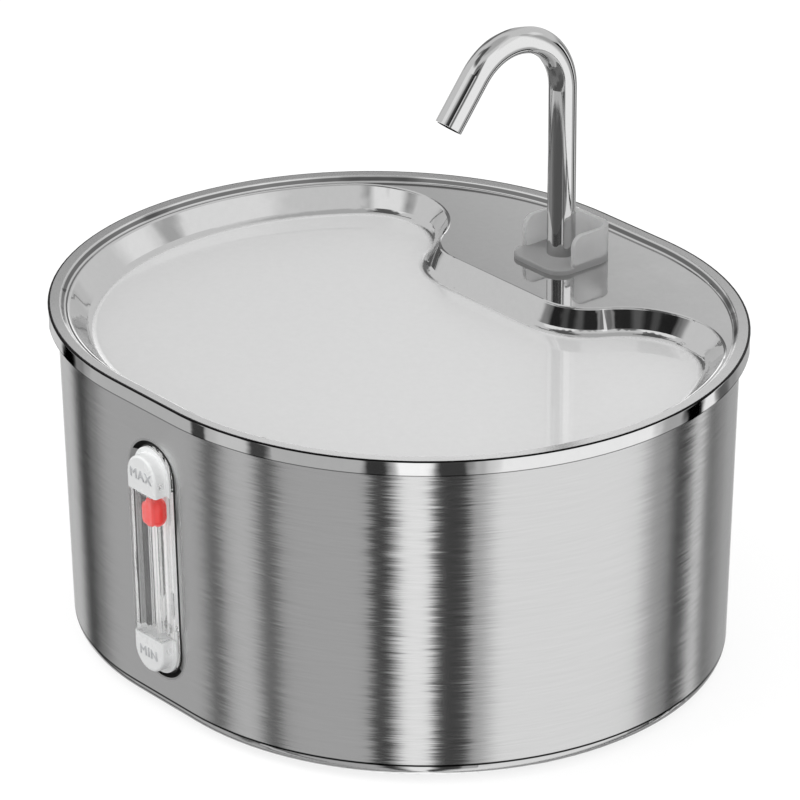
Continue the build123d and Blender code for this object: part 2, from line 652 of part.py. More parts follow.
with BuildPart() as window_studs:
    with BuildSketch(window_plane.offset(STUD_END)):
        with GridLocations(STUD_SPACING_X, STUD_SPACING_Y, 2, 2):
            Circle(STUD_RADIUS)
    extrude(amount=-SHEET - STUD_END)
window_studs.part.label = "window_studs"
export_step(window_studs.part, "parts/window_studs.step")

with BuildPart() as window_nuts:
    with BuildSketch(window_plane.offset(PLATE_BACK - NUT_HEIGHT)):
        with GridLocations(STUD_SPACING_X, STUD_SPACING_Y, 2, 2):
            RegularPolygon(NUT_ACROSS_FLATS / 2, 6, major_radius=False)
            Circle(STUD_RADIUS, mode=Mode.SUBTRACT)
    extrude(amount=NUT_HEIGHT)
window_nuts.part.label = "window_nuts"
export_step(window_nuts.part, "parts/window_nuts.step")

with BuildPart() as level_float:
    float_foot = Vector(0, FLOAT_CENTRE - FLOAT_LENGTH / 2, FLOAT_OFFSET)
    float_origin = window_plane.from_local_coords(float_foot)
    float_plane = Plane(origin=float_origin, x_dir=(1, 0, 0), z_dir=window_plane.y_dir)
    extrude(round_face(float_plane, FLOAT_RADIUS), amount=FLOAT_LENGTH)
    fillet(level_float.edges().filter_by(GeomType.CIRCLE), radius=FLOAT_END_RADIUS)
level_float.part.label = "level_float"
export_step(level_float.part, "parts/level_float.step")

# ---------------------------------------------------------------- cable gland
with BuildPart() as cable_gland:
    extrude(round_face(gland_plane, GLAND_FLANGE_RADIUS), amount=GLAND_FLANGE)
    extrude(round_face(gland_plane, GLAND_NOSE_RADIUS), amount=GLAND_PROUD)
    fillet(cable_gland.faces().sort_by(gland_outward)[-1].edges(), radius=GLAND_EDGE)
    extrude(round_face(gland_plane, GLAND_HOLE_RADIUS - GLAND_FIT), amount=GLAND_INNER_END)
    gland_bore = round_face(gland_plane.offset(GLAND_INNER_END), GLAND_SEAL_RADIUS)
    extrude(gland_bore, amount=GLAND_PROUD - GLAND_INNER_END, mode=Mode.SUBTRACT)
cable_gland.part.label = "cable_gland"
export_step(cable_gland.part, "parts/cable_gland.step")

with BuildPart() as gland_seal:
    seal_end = round_face(gland_plane.offset(GLAND_INNER_END), GLAND_SEAL_RADIUS, CORD_BORE_RADIUS)
    extrude(seal_end, amount=GLAND_PROUD - GLAND_INNER_END)
gland_seal.part.label = "gland_seal"
export_step(gland_seal.part, "parts/gland_seal.step")

with BuildPart() as gland_nut:
    with BuildSketch(gland_plane.offset(-SHEET - GLAND_NUT_HEIGHT)):
        RegularPolygon(GLAND_NUT_ACROSS_FLATS / 2, 6, major_radius=False)
        Circle(GLAND_HOLE_RADIUS - GLAND_FIT, mode=Mode.SUBTRACT)
    extrude(amount=GLAND_NUT_HEIGHT)
gland_nut.part.label = "gland_nut"
export_step(gland_nut.part, "parts/gland_nut.step")

# ---------------------------------------------------------------- pump body
with BuildPart() as pump_housing:
    extrude(pump_section(PUMP_FRONT_X), amount=PUMP_BACK_X - PUMP_FRONT_X)
    volute = round_face(pump_plane(PUMP_FRONT_X), VOLUTE_RADIUS)
    extrude(volute, amount=VOLUTE_BACK_X - PUMP_FRONT_X, mode=Mode.SUBTRACT)
    pocket_length = PUMP_BACK_X - POCKET_FRONT_X
    extrude(pocket_section(POCKET_FRONT_X), amount=pocket_length, mode=Mode.SUBTRACT)
    well_tube = round_face(pump_plane(VOLUTE_BACK_X), WELL_RADIUS + WELL_WALL)
    extrude(well_tube, amount=WELL_BACK_X + WELL_WALL - VOLUTE_BACK_X)
    well = round_face(pump_plane(VOLUTE_BACK_X), WELL_RADIUS)
    extrude(well, amount=WELL_BACK_X - VOLUTE_BACK_X, mode=Mode.SUBTRACT)
    # outlet port on top of the volute
    extrude(round_face(spout_plane(PUMP_TOP), OUTLET_RADIUS), amount=OUTLET_TOP - PUMP_TOP)
    outlet_bore = round_face(spout_plane(PUMP_Z + VOLUTE_RADIUS / 2), OUTLET_BORE_RADIUS)
    extrude(outlet_bore, amount=OUTLET_TOP - PUMP_Z, mode=Mode.SUBTRACT)
pump_housing.part.label = "pump_housing"
export_step(pump_housing.part, "parts/pump_housing.step")

with BuildPart() as pump_cover:
    extrude(pump_section(COVER_FRONT_X), amount=COVER_THICKNESS)
    with BuildSketch(pump_plane(COVER_FRONT_X)):
        Circle(INTAKE_RADIUS)
        Circle(INTAKE_HUB_RADIUS, mode=Mode.SUBTRACT)
        with PolarLocations((INTAKE_RADIUS + INTAKE_HUB_RADIUS) / 2, SPOKE_COUNT):
            Rectangle(INTAKE_RADIUS, SPOKE_WIDTH, mode=Mode.SUBTRACT)
    extrude(amount=COVER_THICKNESS, mode=Mode.SUBTRACT)
    bush_pocket = round_face(pump_plane(SHAFT_FRONT_X), BUSH_RADIUS)
    extrude(bush_pocket, amount=BUSH_LENGTH, mode=Mode.SUBTRACT)
    groove_outer = O_RING_RADIUS + O_RING_GROOVE_WIDTH / 2
    groove_inner = O_RING_RADIUS - O_RING_GROOVE_WIDTH / 2
    groove = round_face(pump_plane(PUMP_FRONT_X), groove_outer, groove_inner)
    extrude(groove, amount=-2 * O_RING_CORD_RADIUS, mode=Mode.SUBTRACT)
    # headed pin that the flow dial turns on
    pin_length = DIAL_THICKNESS + 2 * DIAL_GAP
    extrude(round_face(pump_plane(COVER_FRONT_X), DIAL_PIN_RADIUS), amount=-pin_length)
    pin_head = round_face(pump_plane(COVER_FRONT_X - pin_length), DIAL_PIN_HEAD_RADIUS)
    extrude(pin_head, amount=-DIAL_PIN_HEAD)
pump_cover.part.label = "pump_cover"
export_step(pump_cover.part, "parts/pump_cover.step")

with BuildPart() as pump_o_ring:
    ring_x = PUMP_FRONT_X - O_RING_CORD_RADIUS
    ring_top = (ring_x, SPOUT_Y, PUMP_Z + O_RING_RADIUS)
    with BuildSketch(Plane(origin=ring_top, x_dir=(1, 0, 0), z_dir=(0, -1, 0))):
        Circle(O_RING_CORD_RADIUS)
    revolve(axis=Axis((0, SPOUT_Y, PUMP_Z), (1, 0, 0)))
pump_o_ring.part.label = "pump_o_ring"
export_step(pump_o_ring.part, "parts/pump_o_ring.step")

with BuildPart() as flow_dial:
    dial_back_x = COVER_FRONT_X - DIAL_GAP
    with BuildSketch(pump_plane(dial_back_x)):
        Circle(DIAL_RADIUS)
        with Locations((0, DIAL_TAB_REACH / 2)):
            Rectangle(DIAL_TAB_WIDTH, DIAL_TAB_REACH)
        Circle(DIAL_PIN_RADIUS + RUNNING_GAP, mode=Mode.SUBTRACT)
        window_mid = (INTAKE_RADIUS + INTAKE_HUB_RADIUS) / 2
        for window_angle in DIAL_WINDOW_ANGLES:
            arc_start = window_angle - DIAL_WINDOW / 2
            with BuildLine(mode=Mode.PRIVATE):
                window_arc = CenterArc((0, 0), window_mid, arc_start, DIAL_WINDOW)
            SlotArc(window_arc, INTAKE_RADIUS - INTAKE_HUB_RADIUS, mode=Mode.SUBTRACT)
    extrude(amount=-DIAL_THICKNESS)
flow_dial.part.label = "flow_dial"
export_step(flow_dial.part, "parts/flow_dial.step")

with BuildPart() as impeller:
    extrude(round_face(pump_plane(IMPELLER_DISC_X), IMPELLER_RADIUS), amount=IMPELLER_DISC)
    with BuildSketch(pump_plane(IMPELLER_FRONT_X)):
        Circle(IMPELLER_HUB_RADIUS)
        with PolarLocations(IMPELLER_RADIUS / 2, BLADE_COUNT):
            Rectangle(IMPELLER_RADIUS, BLADE_THICKNESS)
    extrude(amount=IMPELLER_DISC_X - IMPELLER_FRONT_X)
    rotor_bore = round_face(pump_plane(IMPELLER_FRONT_X), SHAFT_RADIUS + RUNNING_GAP)
    extrude(rotor_bore, amount=IMPELLER_RADIUS, mode=Mode.SUBTRACT)
impeller.part.label = "impeller"
export_step(impeller.part, "parts/impeller.step")

with BuildPart() as rotor_magnet:
    magnet_front_x = IMPELLER_DISC_X + IMPELLER_DISC
    magnet_end = round_face(pump_plane(magnet_front_x), MAGNET_RADIUS, SHAFT_RADIUS + RUNNING_GAP)
    extrude(magnet_end, amount=MAGNET_BACK_X - magnet_front_x)
rotor_magnet.part.label = "rotor_magnet"
export_step(rotor_magnet.part, "parts/rotor_magnet.step")

with BuildPart() as pump_shaft:
    extrude(round_face(pump_plane(SHAFT_FRONT_X), SHAFT_RADIUS), amount=WELL_BACK_X - SHAFT_FRONT_X)
pump_shaft.part.label = "pump_shaft"
export_step(pump_shaft.part, "parts/pump_shaft.step")

with BuildPart() as shaft_bushes:
    for bush_x in (SHAFT_FRONT_X, WELL_BACK_X - BUSH_LENGTH):
        extrude(round_face(pump_plane(bush_x), BUSH_RADIUS, SHAFT_RADIUS), amount=BUSH_LENGTH)
shaft_bushes.part.label = "shaft_bushes"
export_step(shaft_bushes.part, "parts/shaft_bushes.step")

# ---------------------------------------------------------------- pump motor
with BuildPart() as stator_core:
    with BuildSketch(pump_plane(CORE_FRONT_X)):
        with Locations((0, (CORE_TOP + CORE_BOTTOM) / 2 - PUMP_Z)):
            Rectangle(CORE_WIDTH, CORE_TOP - CORE_BOTTOM)
        with Locations((0, CORE_BOTTOM + CORE_LEG - PUMP_Z)):
            Rectangle(
                CORE_WIDTH - 2 * CORE_LEG,
                CORE_TOP - CORE_BOTTOM,
                align=(Align.CENTER, Align.MIN),
                mode=Mode.SUBTRACT,
            )
    extrude(amount=CORE_LENGTH)
stator_core.part.label = "stator_core"
export_step(stator_core.part, "parts/stator_core.step")

with BuildPart() as stator_coil:
    coil_middle = (CORE_FRONT_X + CORE_LENGTH / 2, SPOUT_Y, CORE_BOTTOM + CORE_LEG / 2)
    with BuildSketch(Plane(origin=coil_middle, x_dir=(1, 0, 0), z_dir=(0, -1, 0))):
        Rectangle(CORE_LENGTH + 2 * COIL_THICKNESS, CORE_LEG + 2 * COIL_THICKNESS)
        Rectangle(CORE_LENGTH, CORE_LEG, mode=Mode.SUBTRACT)
    extrude(amount=COIL_HALF_WIDTH, both=True)
stator_coil.part.label = "stator_coil"
export_step(stator_coil.part, "parts/stator_coil.step")

with BuildPart() as motor_back_plate:
    extrude(pocket_section(PUMP_BACK_X), amount=-BACK_PLATE_THICKNESS)
    boss_centre = (PUMP_BACK_X, SPOUT_Y, CORD_BOSS_Z)
    boss_plane = Plane(origin=boss_centre, x_dir=(0, 1, 0), z_dir=(1, 0, 0))
    extrude(round_face(boss_plane, CORD_BOSS_RADIUS), amount=CORD_BOSS_LENGTH)
    cord_bore = round_face(boss_plane, CORD_BORE_RADIUS)
    extrude(cord_bore, amount=CORD_BOSS_LENGTH, both=True, mode=Mode.SUBTRACT)
motor_back_plate.part.label = "motor_back_plate"
export_step(motor_back_plate.part, "parts/motor_back_plate.step")

with BuildPart() as pump_feet:
    with BuildSketch(spout_plane(CASE_FLOOR_Z)):
        with Locations((SUCTION_FOOT_CENTRE_X, 0)):
            with GridLocations(SUCTION_FOOT_SPACING_X, SUCTION_FOOT_SPACING_Y, 2, 2):
                Circle(SUCTION_FOOT_RADIUS)
    extrude(amount=PUMP_BOTTOM - CASE_FLOOR_Z, taper=SUCTION_FOOT_TAPER)
pump_feet.part.label = "pump_feet"
export_step(pump_feet.part, "parts/pump_feet.step")

with BuildPart() as riser_hose:
    hose_end = round_face(spout_plane(HOSE_BOTTOM), HOSE_RADIUS, TUBE_RADIUS + RUNNING_GAP)
    extrude(hose_end, amount=HOSE_TOP - HOSE_BOTTOM)
riser_hose.part.label = "riser_hose"
export_step(riser_hose.part, "parts/riser_hose.step")

# ---------------------------------------------------------------- pump case
with BuildPart() as pump_case:
    extrude(case_outline(TANK_FLOOR_Z, 0), amount=CASE_TOP - TANK_FLOOR_Z)
    case_inside = case_outline(CASE_FLOOR_Z, CASE_WALL)
    extrude(case_inside, amount=CASE_TOP - CASE_FLOOR_Z, mode=Mode.SUBTRACT)
    with BuildSketch(Plane.XY.offset(CASE_FLOOR_Z)):
        with Locations((0, DIVIDER_Y + CASE_WALL / 2)):
            Rectangle(2 * (CASE_HALF_WIDTH - CASE_WALL), CASE_WALL)
    extrude(amount=CASE_TOP - CASE_FLOOR_Z)
    # water slots through the front wall and the divider
    grille_middle = (0, CASE_FRONT_Y, (GRILLE_TOP + GRILLE_BOTTOM) / 2)
    with BuildSketch(Plane(origin=grille_middle, x_dir=(-1, 0, 0), z_dir=(0, 1, 0))):
        with GridLocations(GRILLE_PITCH, 0, GRILLE_COUNT, 1):
            SlotOverall(GRILLE_TOP - GRILLE_BOTTOM, GRILLE_SLOT, rotation=90)
    extrude(amount=DIVIDER_Y + CASE_WALL - CASE_FRONT_Y, mode=Mode.SUBTRACT)
    # open notch for the pump's cord
    notch_top = (CASE_HALF_WIDTH, SPOUT_Y, CASE_TOP)
    with BuildSketch(Plane(origin=notch_top, x_dir=(0, 1, 0), z_dir=(1, 0, 0))):
        Rectangle(CORD_NOTCH_WIDTH, 2 * (CASE_TOP - CORD_NOTCH_BOTTOM))
    extrude(amount=-CASE_WALL, mode=Mode.SUBTRACT)
pump_case.part.label = "pump_case"
export_step(pump_case.part, "parts/pump_case.step")

with BuildPart() as pump_case_lid:
    extrude(case_outline(CASE_TOP, 0, DIVIDER_Y), amount=CASE_WALL)
    lip_front_y = DIVIDER_Y + CASE_WALL + LID_FIT
    lip = case_outline(CASE_TOP, CASE_WALL + LID_FIT, lip_front_y)
    extrude(lip, amount=-CASE_WALL)
    lip_inside = case_outline(CASE_TOP, 2 * CASE_WALL + LID_FIT, lip_front_y + CASE_WALL)
    extrude(lip_inside, amount=-CASE_WALL, mode=Mode.SUBTRACT)
    hose_hole = round_face(spout_plane(CASE_TOP), LID_HOSE_HOLE_RADIUS)
    extrude(hose_hole, amount=CASE_WALL, mode=Mode.SUBTRACT)
    with BuildSketch(Plane.XY.offset(CASE_TOP + CASE_WALL)):
        with Locations((0, LID_RIB_Y)):
            Rectangle(LID_RIB_WIDTH, CASE_WALL)
    extrude(amount=LID_RIB_HEIGHT)
pump_case_lid.part.label = "pump_case_lid"
export_step(pump_case_lid.part, "parts/pump_case_lid.step")

# ---------------------------------------------------------------- filters
with BuildPart() as foam_prefilter:
    with BuildSketch(Plane.XY.offset(CASE_FLOOR_Z)):
        with Locations(((FOAM_LEFT_X + FOAM_RIGHT_X) / 2, (FOAM_FRONT_Y + FOAM_BACK_Y) / 2)):
            RectangleRounded(FOAM_RIGHT_X - FOAM_LEFT_X, FOAM_BACK_Y - FOAM_FRONT_Y, FOAM_CORNER)
    extrude(amount=FOAM_TOP - CASE_FLOOR_Z)
foam_prefilter.part.label = "foam_prefilter"
export_step(foam_prefilter.part, "parts/foam_prefilter.step")

cartridge_front_y = CARTRIDGE_Y - CARTRIDGE_DEPTH / 2
cartridge_back_y = CARTRIDGE_Y + CARTRIDGE_DEPTH / 2

with BuildPart() as filter_frame:
    with BuildSketch(Plane.XY.offset(CASE_FLOOR_Z)):
        with Locations((0, CARTRIDGE_Y)):
            RectangleRounded(CARTRIDGE_WIDTH, CARTRIDGE_DEPTH, CARTRIDGE_CORNER)
    extrude(amount=CARTRIDGE_HEIGHT)
    frame_window = cartridge_window(cartridge_front_y)
    extrude(frame_window, amount=CARTRIDGE_DEPTH, mode=Mode.SUBTRACT)
    for lattice_y in (cartridge_front_y, cartridge_back_y - LATTICE_DEPTH):
        with BuildSketch(cartridge_plane(lattice_y)):
            with GridLocations(LATTICE_PITCH, 0, LATTICE_COUNT, 1):
                Rectangle(LATTICE_BAR, CARTRIDGE_HEIGHT - CARTRIDGE_BORDER)
            Rectangle(CARTRIDGE_WIDTH - CARTRIDGE_BORDER, LATTICE_BAR)
        extrude(amount=LATTICE_DEPTH)
    with BuildSketch(Plane.XY.offset(CASE_FLOOR_Z + CARTRIDGE_HEIGHT)):
        with Locations((0, CARTRIDGE_Y)):
            Rectangle(PULL_TAB_WIDTH, 2 * PAD_THICKNESS)
    extrude(amount=PULL_TAB_HEIGHT)
filter_frame.part.label = "filter_frame"
export_step(filter_frame.part, "parts/filter_frame.step")

with BuildPart() as filter_pads:
    front_pad_y = cartridge_front_y + LATTICE_DEPTH
    back_pad_y = cartridge_back_y - LATTICE_DEPTH - PAD_THICKNESS
    for pad_y in (front_pad_y, back_pad_y):
        extrude(cartridge_window(pad_y), amount=PAD_THICKNESS)
filter_pads.part.label = "filter_pads"
export_step(filter_pads.part, "parts/filter_pads.step")

with BuildPart() as filter_carbon:
    carbon_front_y = front_pad_y + PAD_THICKNESS
    extrude(cartridge_window(carbon_front_y), amount=back_pad_y - carbon_front_y)
filter_carbon.part.label = "filter_carbon"
export_step(filter_carbon.part, "parts/filter_carbon.step")
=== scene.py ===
"""Pet water fountain: finishes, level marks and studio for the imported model.

The frame is in metres, with the origin on the standing surface at the tank's centre, +Z up,
the level window towards -Y and the spout towards +Y. Every finish is procedural and reads
object coordinates, so it stays on its piece when the piece moves.
"""

from math import cos, radians, sin

import bmesh
import bpy
from mathutils import Euler, Matrix, Vector


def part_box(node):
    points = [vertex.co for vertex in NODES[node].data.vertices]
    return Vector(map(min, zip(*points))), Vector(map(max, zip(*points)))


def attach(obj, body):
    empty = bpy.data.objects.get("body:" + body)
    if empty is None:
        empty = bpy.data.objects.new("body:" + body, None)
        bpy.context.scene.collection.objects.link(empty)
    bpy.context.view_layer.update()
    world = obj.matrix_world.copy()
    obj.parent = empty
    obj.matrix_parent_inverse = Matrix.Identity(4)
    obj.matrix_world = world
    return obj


bl_info = {
    "name": "Pet water fountain",
    "version": (1, 0, 0),
    "blender": (4, 5, 0),
    "location": "3D View > Sidebar > Fountain",
    "description": "Finishes, level marks and studio for a pet water fountain",
    "category": "Object",
}

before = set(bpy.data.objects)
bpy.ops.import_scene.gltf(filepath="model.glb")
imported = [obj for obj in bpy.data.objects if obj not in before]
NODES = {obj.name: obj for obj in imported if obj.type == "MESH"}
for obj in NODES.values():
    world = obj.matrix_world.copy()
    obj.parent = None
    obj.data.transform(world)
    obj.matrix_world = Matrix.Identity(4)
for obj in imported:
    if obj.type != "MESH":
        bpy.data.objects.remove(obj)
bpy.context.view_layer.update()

# ---------------------------------------------------------------- places on the object
WALL_TAPER = radians(1.344)
WALL_FACING_LIMIT = radians(6.0)
FOOT_BAND_HEIGHT = 0.0065
HALF_SPINE = 0.01575  # from the oval's middle to the centre of each round end

WINDOW_CENTRE = Vector((0.0, -0.1001, 0.0561))
WINDOW_OUTWARD = Vector((0.0, -cos(WALL_TAPER), -sin(WALL_TAPER)))
WINDOW_UPWARD = Vector((0.0, -sin(WALL_TAPER), cos(WALL_TAPER)))
CAP_PROUD = 0.005
RECESS_ARC_OFFSET = 0.0295
RECESS_ARC_RADIUS = 0.01245
RECESS_END_START = 0.55 * RECESS_ARC_RADIUS
RECESS_MARGIN = 0.0008
RECESS_DEPTH = 0.01

TRAY_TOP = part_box("drinking_tray")[1].z
BASIN_FLOOR_HEIGHT = TRAY_TOP - 0.0102
SKIRT_FOOT_HEIGHT = TRAY_TOP - 0.005
STEP_REACH = 0.102  # out from the oval's spine, as the next one is
RIM_LINE_REACH = 0.1035
FLANGE_DIP = radians(3.0)
LEVEL_LIMIT = 0.93  # upright share of a normal, under which the sheet slopes

# Bands of height that have a finish or a painted dark line of their own: lowest, highest, soft
# edge.
BELOW_ALL, ABOVE_ALL = -1.0, 1.0
FOOT_BAND = (BELOW_ALL, FOOT_BAND_HEIGHT, 0.0003)
PAINTED_WALL_LINE = (FOOT_BAND_HEIGHT - 0.0005, FOOT_BAND_HEIGHT + 0.0004, 0.0002)
FLANGE = (TRAY_TOP - 0.0002, ABOVE_ALL, 0.0001)
RIM_EDGE = (TRAY_TOP - 0.0004, ABOVE_ALL, 0.0001)
STEP = (TRAY_TOP - 0.0017, TRAY_TOP - 0.0004, 0.0002)
SKIRT_FOOT = (SKIRT_FOOT_HEIGHT - 0.0002, SKIRT_FOOT_HEIGHT + 0.0004, 0.0001)
BASIN_FLOOR = (BELOW_ALL, BASIN_FLOOR_HEIGHT + 0.0003, 0.0003)

ORIGIN = (0.0, 0.0, 0.0)
UP = (0.0, 0.0, 1.0)

# ---------------------------------------------------------------- studio
FLOOR_GAP = 0.0002
FLOOR_PAPER = 0.3
FLOOR_GLOW = 0.76
LAMP_TARGET = Vector((0.0, 0.0, 0.06))

# Studio plan, from back to front. Each panel: middle and half width in degrees round the
# object (0 faces -Y, 90 faces +X), lowest and highest elevation, soft edge, brightness.
STUDIO_PANELS = (
    (0.0, 400.0, -95.0, 95.0, 1.0, 0.5),  # grey room below the table top
    (0.0, 400.0, 5.0, 95.0, 8.0, 0.64),  # paler room above it
    (-158.0, 14.0, -95.0, 0.0, 10.0, 0.45),
    (-176.0, 11.0, -95.0, 4.0, 8.0, 0.3),
    (-129.0, 11.0, -95.0, 21.0, 6.0, 1.3),  # tall softbox behind on the left
    (-101.0, 9.0, -95.0, 3.0, 5.0, 0.65),
    (-136.0, 11.0, 24.0, 48.0, 8.0, 0.5),
    (-114.0, 15.5, 18.0, 39.0, 9.0, 0.13),
    (-103.0, 11.0, 3.0, 22.0, 6.0, 0.16),
    (-78.0, 8.0, -95.0, 4.0, 6.0, 0.24),
    (-86.0, 6.0, -95.0, 4.0, 3.0, 0.0),
    (-68.0, 7.0, 49.0, 62.0, 6.0, 0.24),
    (-24.0, 7.0, -95.0, 3.0, 5.0, 0.64),
    (-38.5, 4.2, -95.0, 3.0, 2.0, 0.05),
    (-12.5, 4.0, -95.0, 3.0, 3.0, 0.06),
    (-5.0, 27.0, 14.0, 32.0, 14.0, 0.03),  # soft left end of the front flags
    (-5.0, 28.0, 34.0, 52.0, 6.0, 0.85),  # light above the front flags
    (15.0, 48.0, 3.0, 26.0, 6.0, 0.24),  # wide grey flag at the front, black higher up
    (22.0, 41.0, 22.0, 32.0, 5.0, 0.015),
    (32.0, 31.0, 26.0, 41.0, 5.0, 0.02),
    (7.0, 5.0, 20.0, 34.0, 5.0, 0.07),
    (31.0, 7.0, 20.0, 38.0, 8.0, 0.1),
    (32.0, 4.0, -95.0, 4.0, 2.5, 0.04),
    (45.0, 6.0, -95.0, 2.0, 3.0, 1.12),  # strip light at the front right
    (59.0, 6.5, -95.0, 4.0, 3.0, 0.05),
    (56.0, 4.0, 20.0, 30.0, 4.0, 0.85),
    (69.0, 6.0, 4.0, 46.0, 6.0, 0.16),
    (45.0, 16.0, 41.0, 51.0, 6.0, 0.16),
    (-15.0, 28.0, 53.0, 66.0, 6.0, 0.12),
    (106.0, 33.0, -95.0, 50.0, 7.0, 0.98),  # large softbox on the right
    (148.5, 7.0, -95.0, 24.0, 7.0, 0.42),
    (160.0, 7.0, -95.0, 3.0, 3.0, 0.0),
    (170.5, 4.5, -95.0, 3.0, 3.0, 0.95),
    (160.0, 9.0, 22.0, 35.0, 8.0, 0.85),
    (121.0, 20.0, 36.0, 58.0, 8.0, 0.82),
    (146.5, 3.5, 28.0, 44.0, 5.0, 0.42),
    (-180.0, 4.5, -95.0, 3.0, 4.0, 0.12),
    (0.0, 400.0, 68.0, 95.0, 8.0, 0.45),  # dimmer ceiling
    (-35.0, 34.0, 60.0, 82.0, 8.0, 0.1),
)


# ---------------------------------------------------------------- node helpers
def add_node(tree, kind, inputs=None, **settings):
    """One shader node, with its settings and what its inputs hold or are linked to."""
    node = tree.nodes.new(kind)
    for name, value in settings.items():
        setattr(node, name, value)
    for name, value in (inputs or {}).items():
        if isinstance(value, bpy.types.NodeSocket):
            tree.links.new(value, node.inputs[name])
        else:
            node.inputs[name].default_value = value
    return node


def calculate(tree, operation, first, second=0.0, clamp=False):
    """A Math node on two values or sockets; returns its output."""
    inputs = {0: first, 1: second}
    node = add_node(tree, "ShaderNodeMath", inputs, operation=operation, use_clamp=clamp)
    return node.outputs[0]


def work_vectors(tree, operation, *vectors, **more):
    """A Vector Math node; returns its vector, or its number for a length or a dot product."""
    inputs = dict(enumerate(vectors)) | more
    node = add_node(tree, "ShaderNodeVectorMath", inputs, operation=operation)
    return node.outputs["Value" if operation in ("LENGTH", "DOT_PRODUCT") else "Vector"]


def split_vector(tree, vector):
    """The X, Y and Z of a vector."""
    return add_node(tree, "ShaderNodeSeparateXYZ", {0: vector}).outputs


def blend_values(tree, factor, low, high):
    """Value that goes from low to high with the factor."""
    inputs = {0: factor, 2: low, 3: high}
    return add_node(tree, "ShaderNodeMix", inputs, data_type="FLOAT").outputs[0]


def blend_colours(tree, factor, low, high):
    """Colour that goes from low to high with the factor."""
    inputs = {0: factor, 6: low, 7: high}
    return add_node(tree, "ShaderNodeMix", inputs, data_type="RGBA").outputs[2]


def noise(tree, vector, scale, **shape):
    """Soft noise from 0 to 1."""
    inputs = {"Vector": vector, "Scale": scale} | shape
    return add_node(tree, "ShaderNodeTexNoise", inputs).outputs["Fac"]


def stripes(tree, vector, scale, distortion):
    """Stripes from 0 to 1, side by side along X."""
    inputs = {"Vector": vector, "Scale": scale, "Distortion": distortion}
    return add_node(tree, "ShaderNodeTexWave", inputs, bands_direction="X").outputs["Fac"]


def cells(tree, given, feature):
    """Packed cells; returns the outputs of their texture."""
    inputs = {"Vector": given["Vector"], "Scale": given["Size"]}
    return add_node(tree, "ShaderNodeTexVoronoi", inputs, feature=feature).outputs


def relief(tree, height, strength, distance, **more):
    """Normal that is tilted by a height."""
    inputs = {"Height": height, "Strength": strength, "Distance": distance} | more
    return add_node(tree, "ShaderNodeBump", inputs).outputs["Normal"]


def object_place(tree):
    """Object coordinates, which stay with the piece."""
    return add_node(tree, "ShaderNodeTexCoord").outputs["Object"]


def true_normal(tree):
    """The surface's own normal."""
    return add_node(tree, "ShaderNodeNewGeometry").outputs["Normal"]


def level_tangent(tree):
    """The way round the Z axis, along which sheet is brushed."""
    return add_node(tree, "ShaderNodeTangent", direction_type="RADIAL", axis="Z").outputs[0]


def seen_in_mirror(tree):
    """1 where polished steel mirrors the piece, 0 seen directly or through a window."""
    rays = add_node(tree, "ShaderNodeLightPath")
    return calculate(tree, "MINIMUM", rays.outputs["Glossy Depth"], 1.0)


def grey(value):
    """Neutral colour of one brightness."""
    return (value, value, value, 1.0)


def shaded(colour, share=1.0):
    """The colour at this share of its brightness, opaque."""
    return tuple(share * part for part in colour[:3]) + (1.0,)


def new_material(name, **constants):
    """Material with one Principled BSDF, and that shader's own socket values."""
    material = bpy.data.materials.new(name)
    material.use_nodes = True
    tree = material.node_tree
    tree.nodes.clear()
    shader = add_node(tree, "ShaderNodeBsdfPrincipled")
    add_node(tree, "ShaderNodeOutputMaterial", {"Surface": shader.outputs["BSDF"]})
    for label, value in constants.items():
        shader.inputs[label.replace("_", " ")].default_value = value
    return material, tree, shader


def feed(tree, shader, **sources):
    """Links what varies over the surface to the shader's inputs of these names."""
    for name, source in sources.items():
        tree.links.new(source, shader.inputs[name.replace("_", " ")])


def place_group(tree, group, **given):
    """One copy of a shared group with its own values; returns its outputs."""
    inputs = {name.replace("_", " "): value for name, value in given.items()}
    return add_node(tree, "ShaderNodeGroup", inputs, node_tree=group).outputs


def shared_group(name, inputs):
    """Makes a function that fills a node group into one that builds the group once.

    The function takes the group and the sockets that it is given, and returns its outputs.
    """

    def keep(fill):
        def build_once():
            group = bpy.data.node_groups.get(name)
            if group is None:
                group = bpy.data.node_groups.new(name, "ShaderNodeTree")
                sockets = group.interface
                for label, default in inputs.items():
                    kind = "Vector" if isinstance(default, tuple) else "Float"
                    socket = sockets.new_socket(
                        name=label, in_out="INPUT", socket_type="NodeSocket" + kind
                    )
                    socket.default_value = default
                results = fill(group, group.nodes.new("NodeGroupInput").outputs)
                for label, source in results.items():
                    kind = "Vector" if source.type == "VECTOR" else "Float"
                    sockets.new_socket(
                        name=label, in_out="OUTPUT", socket_type="NodeSocket" + kind
                    )
                add_node(group, "NodeGroupOutput", results)
            return group

        return build_once

    return keep


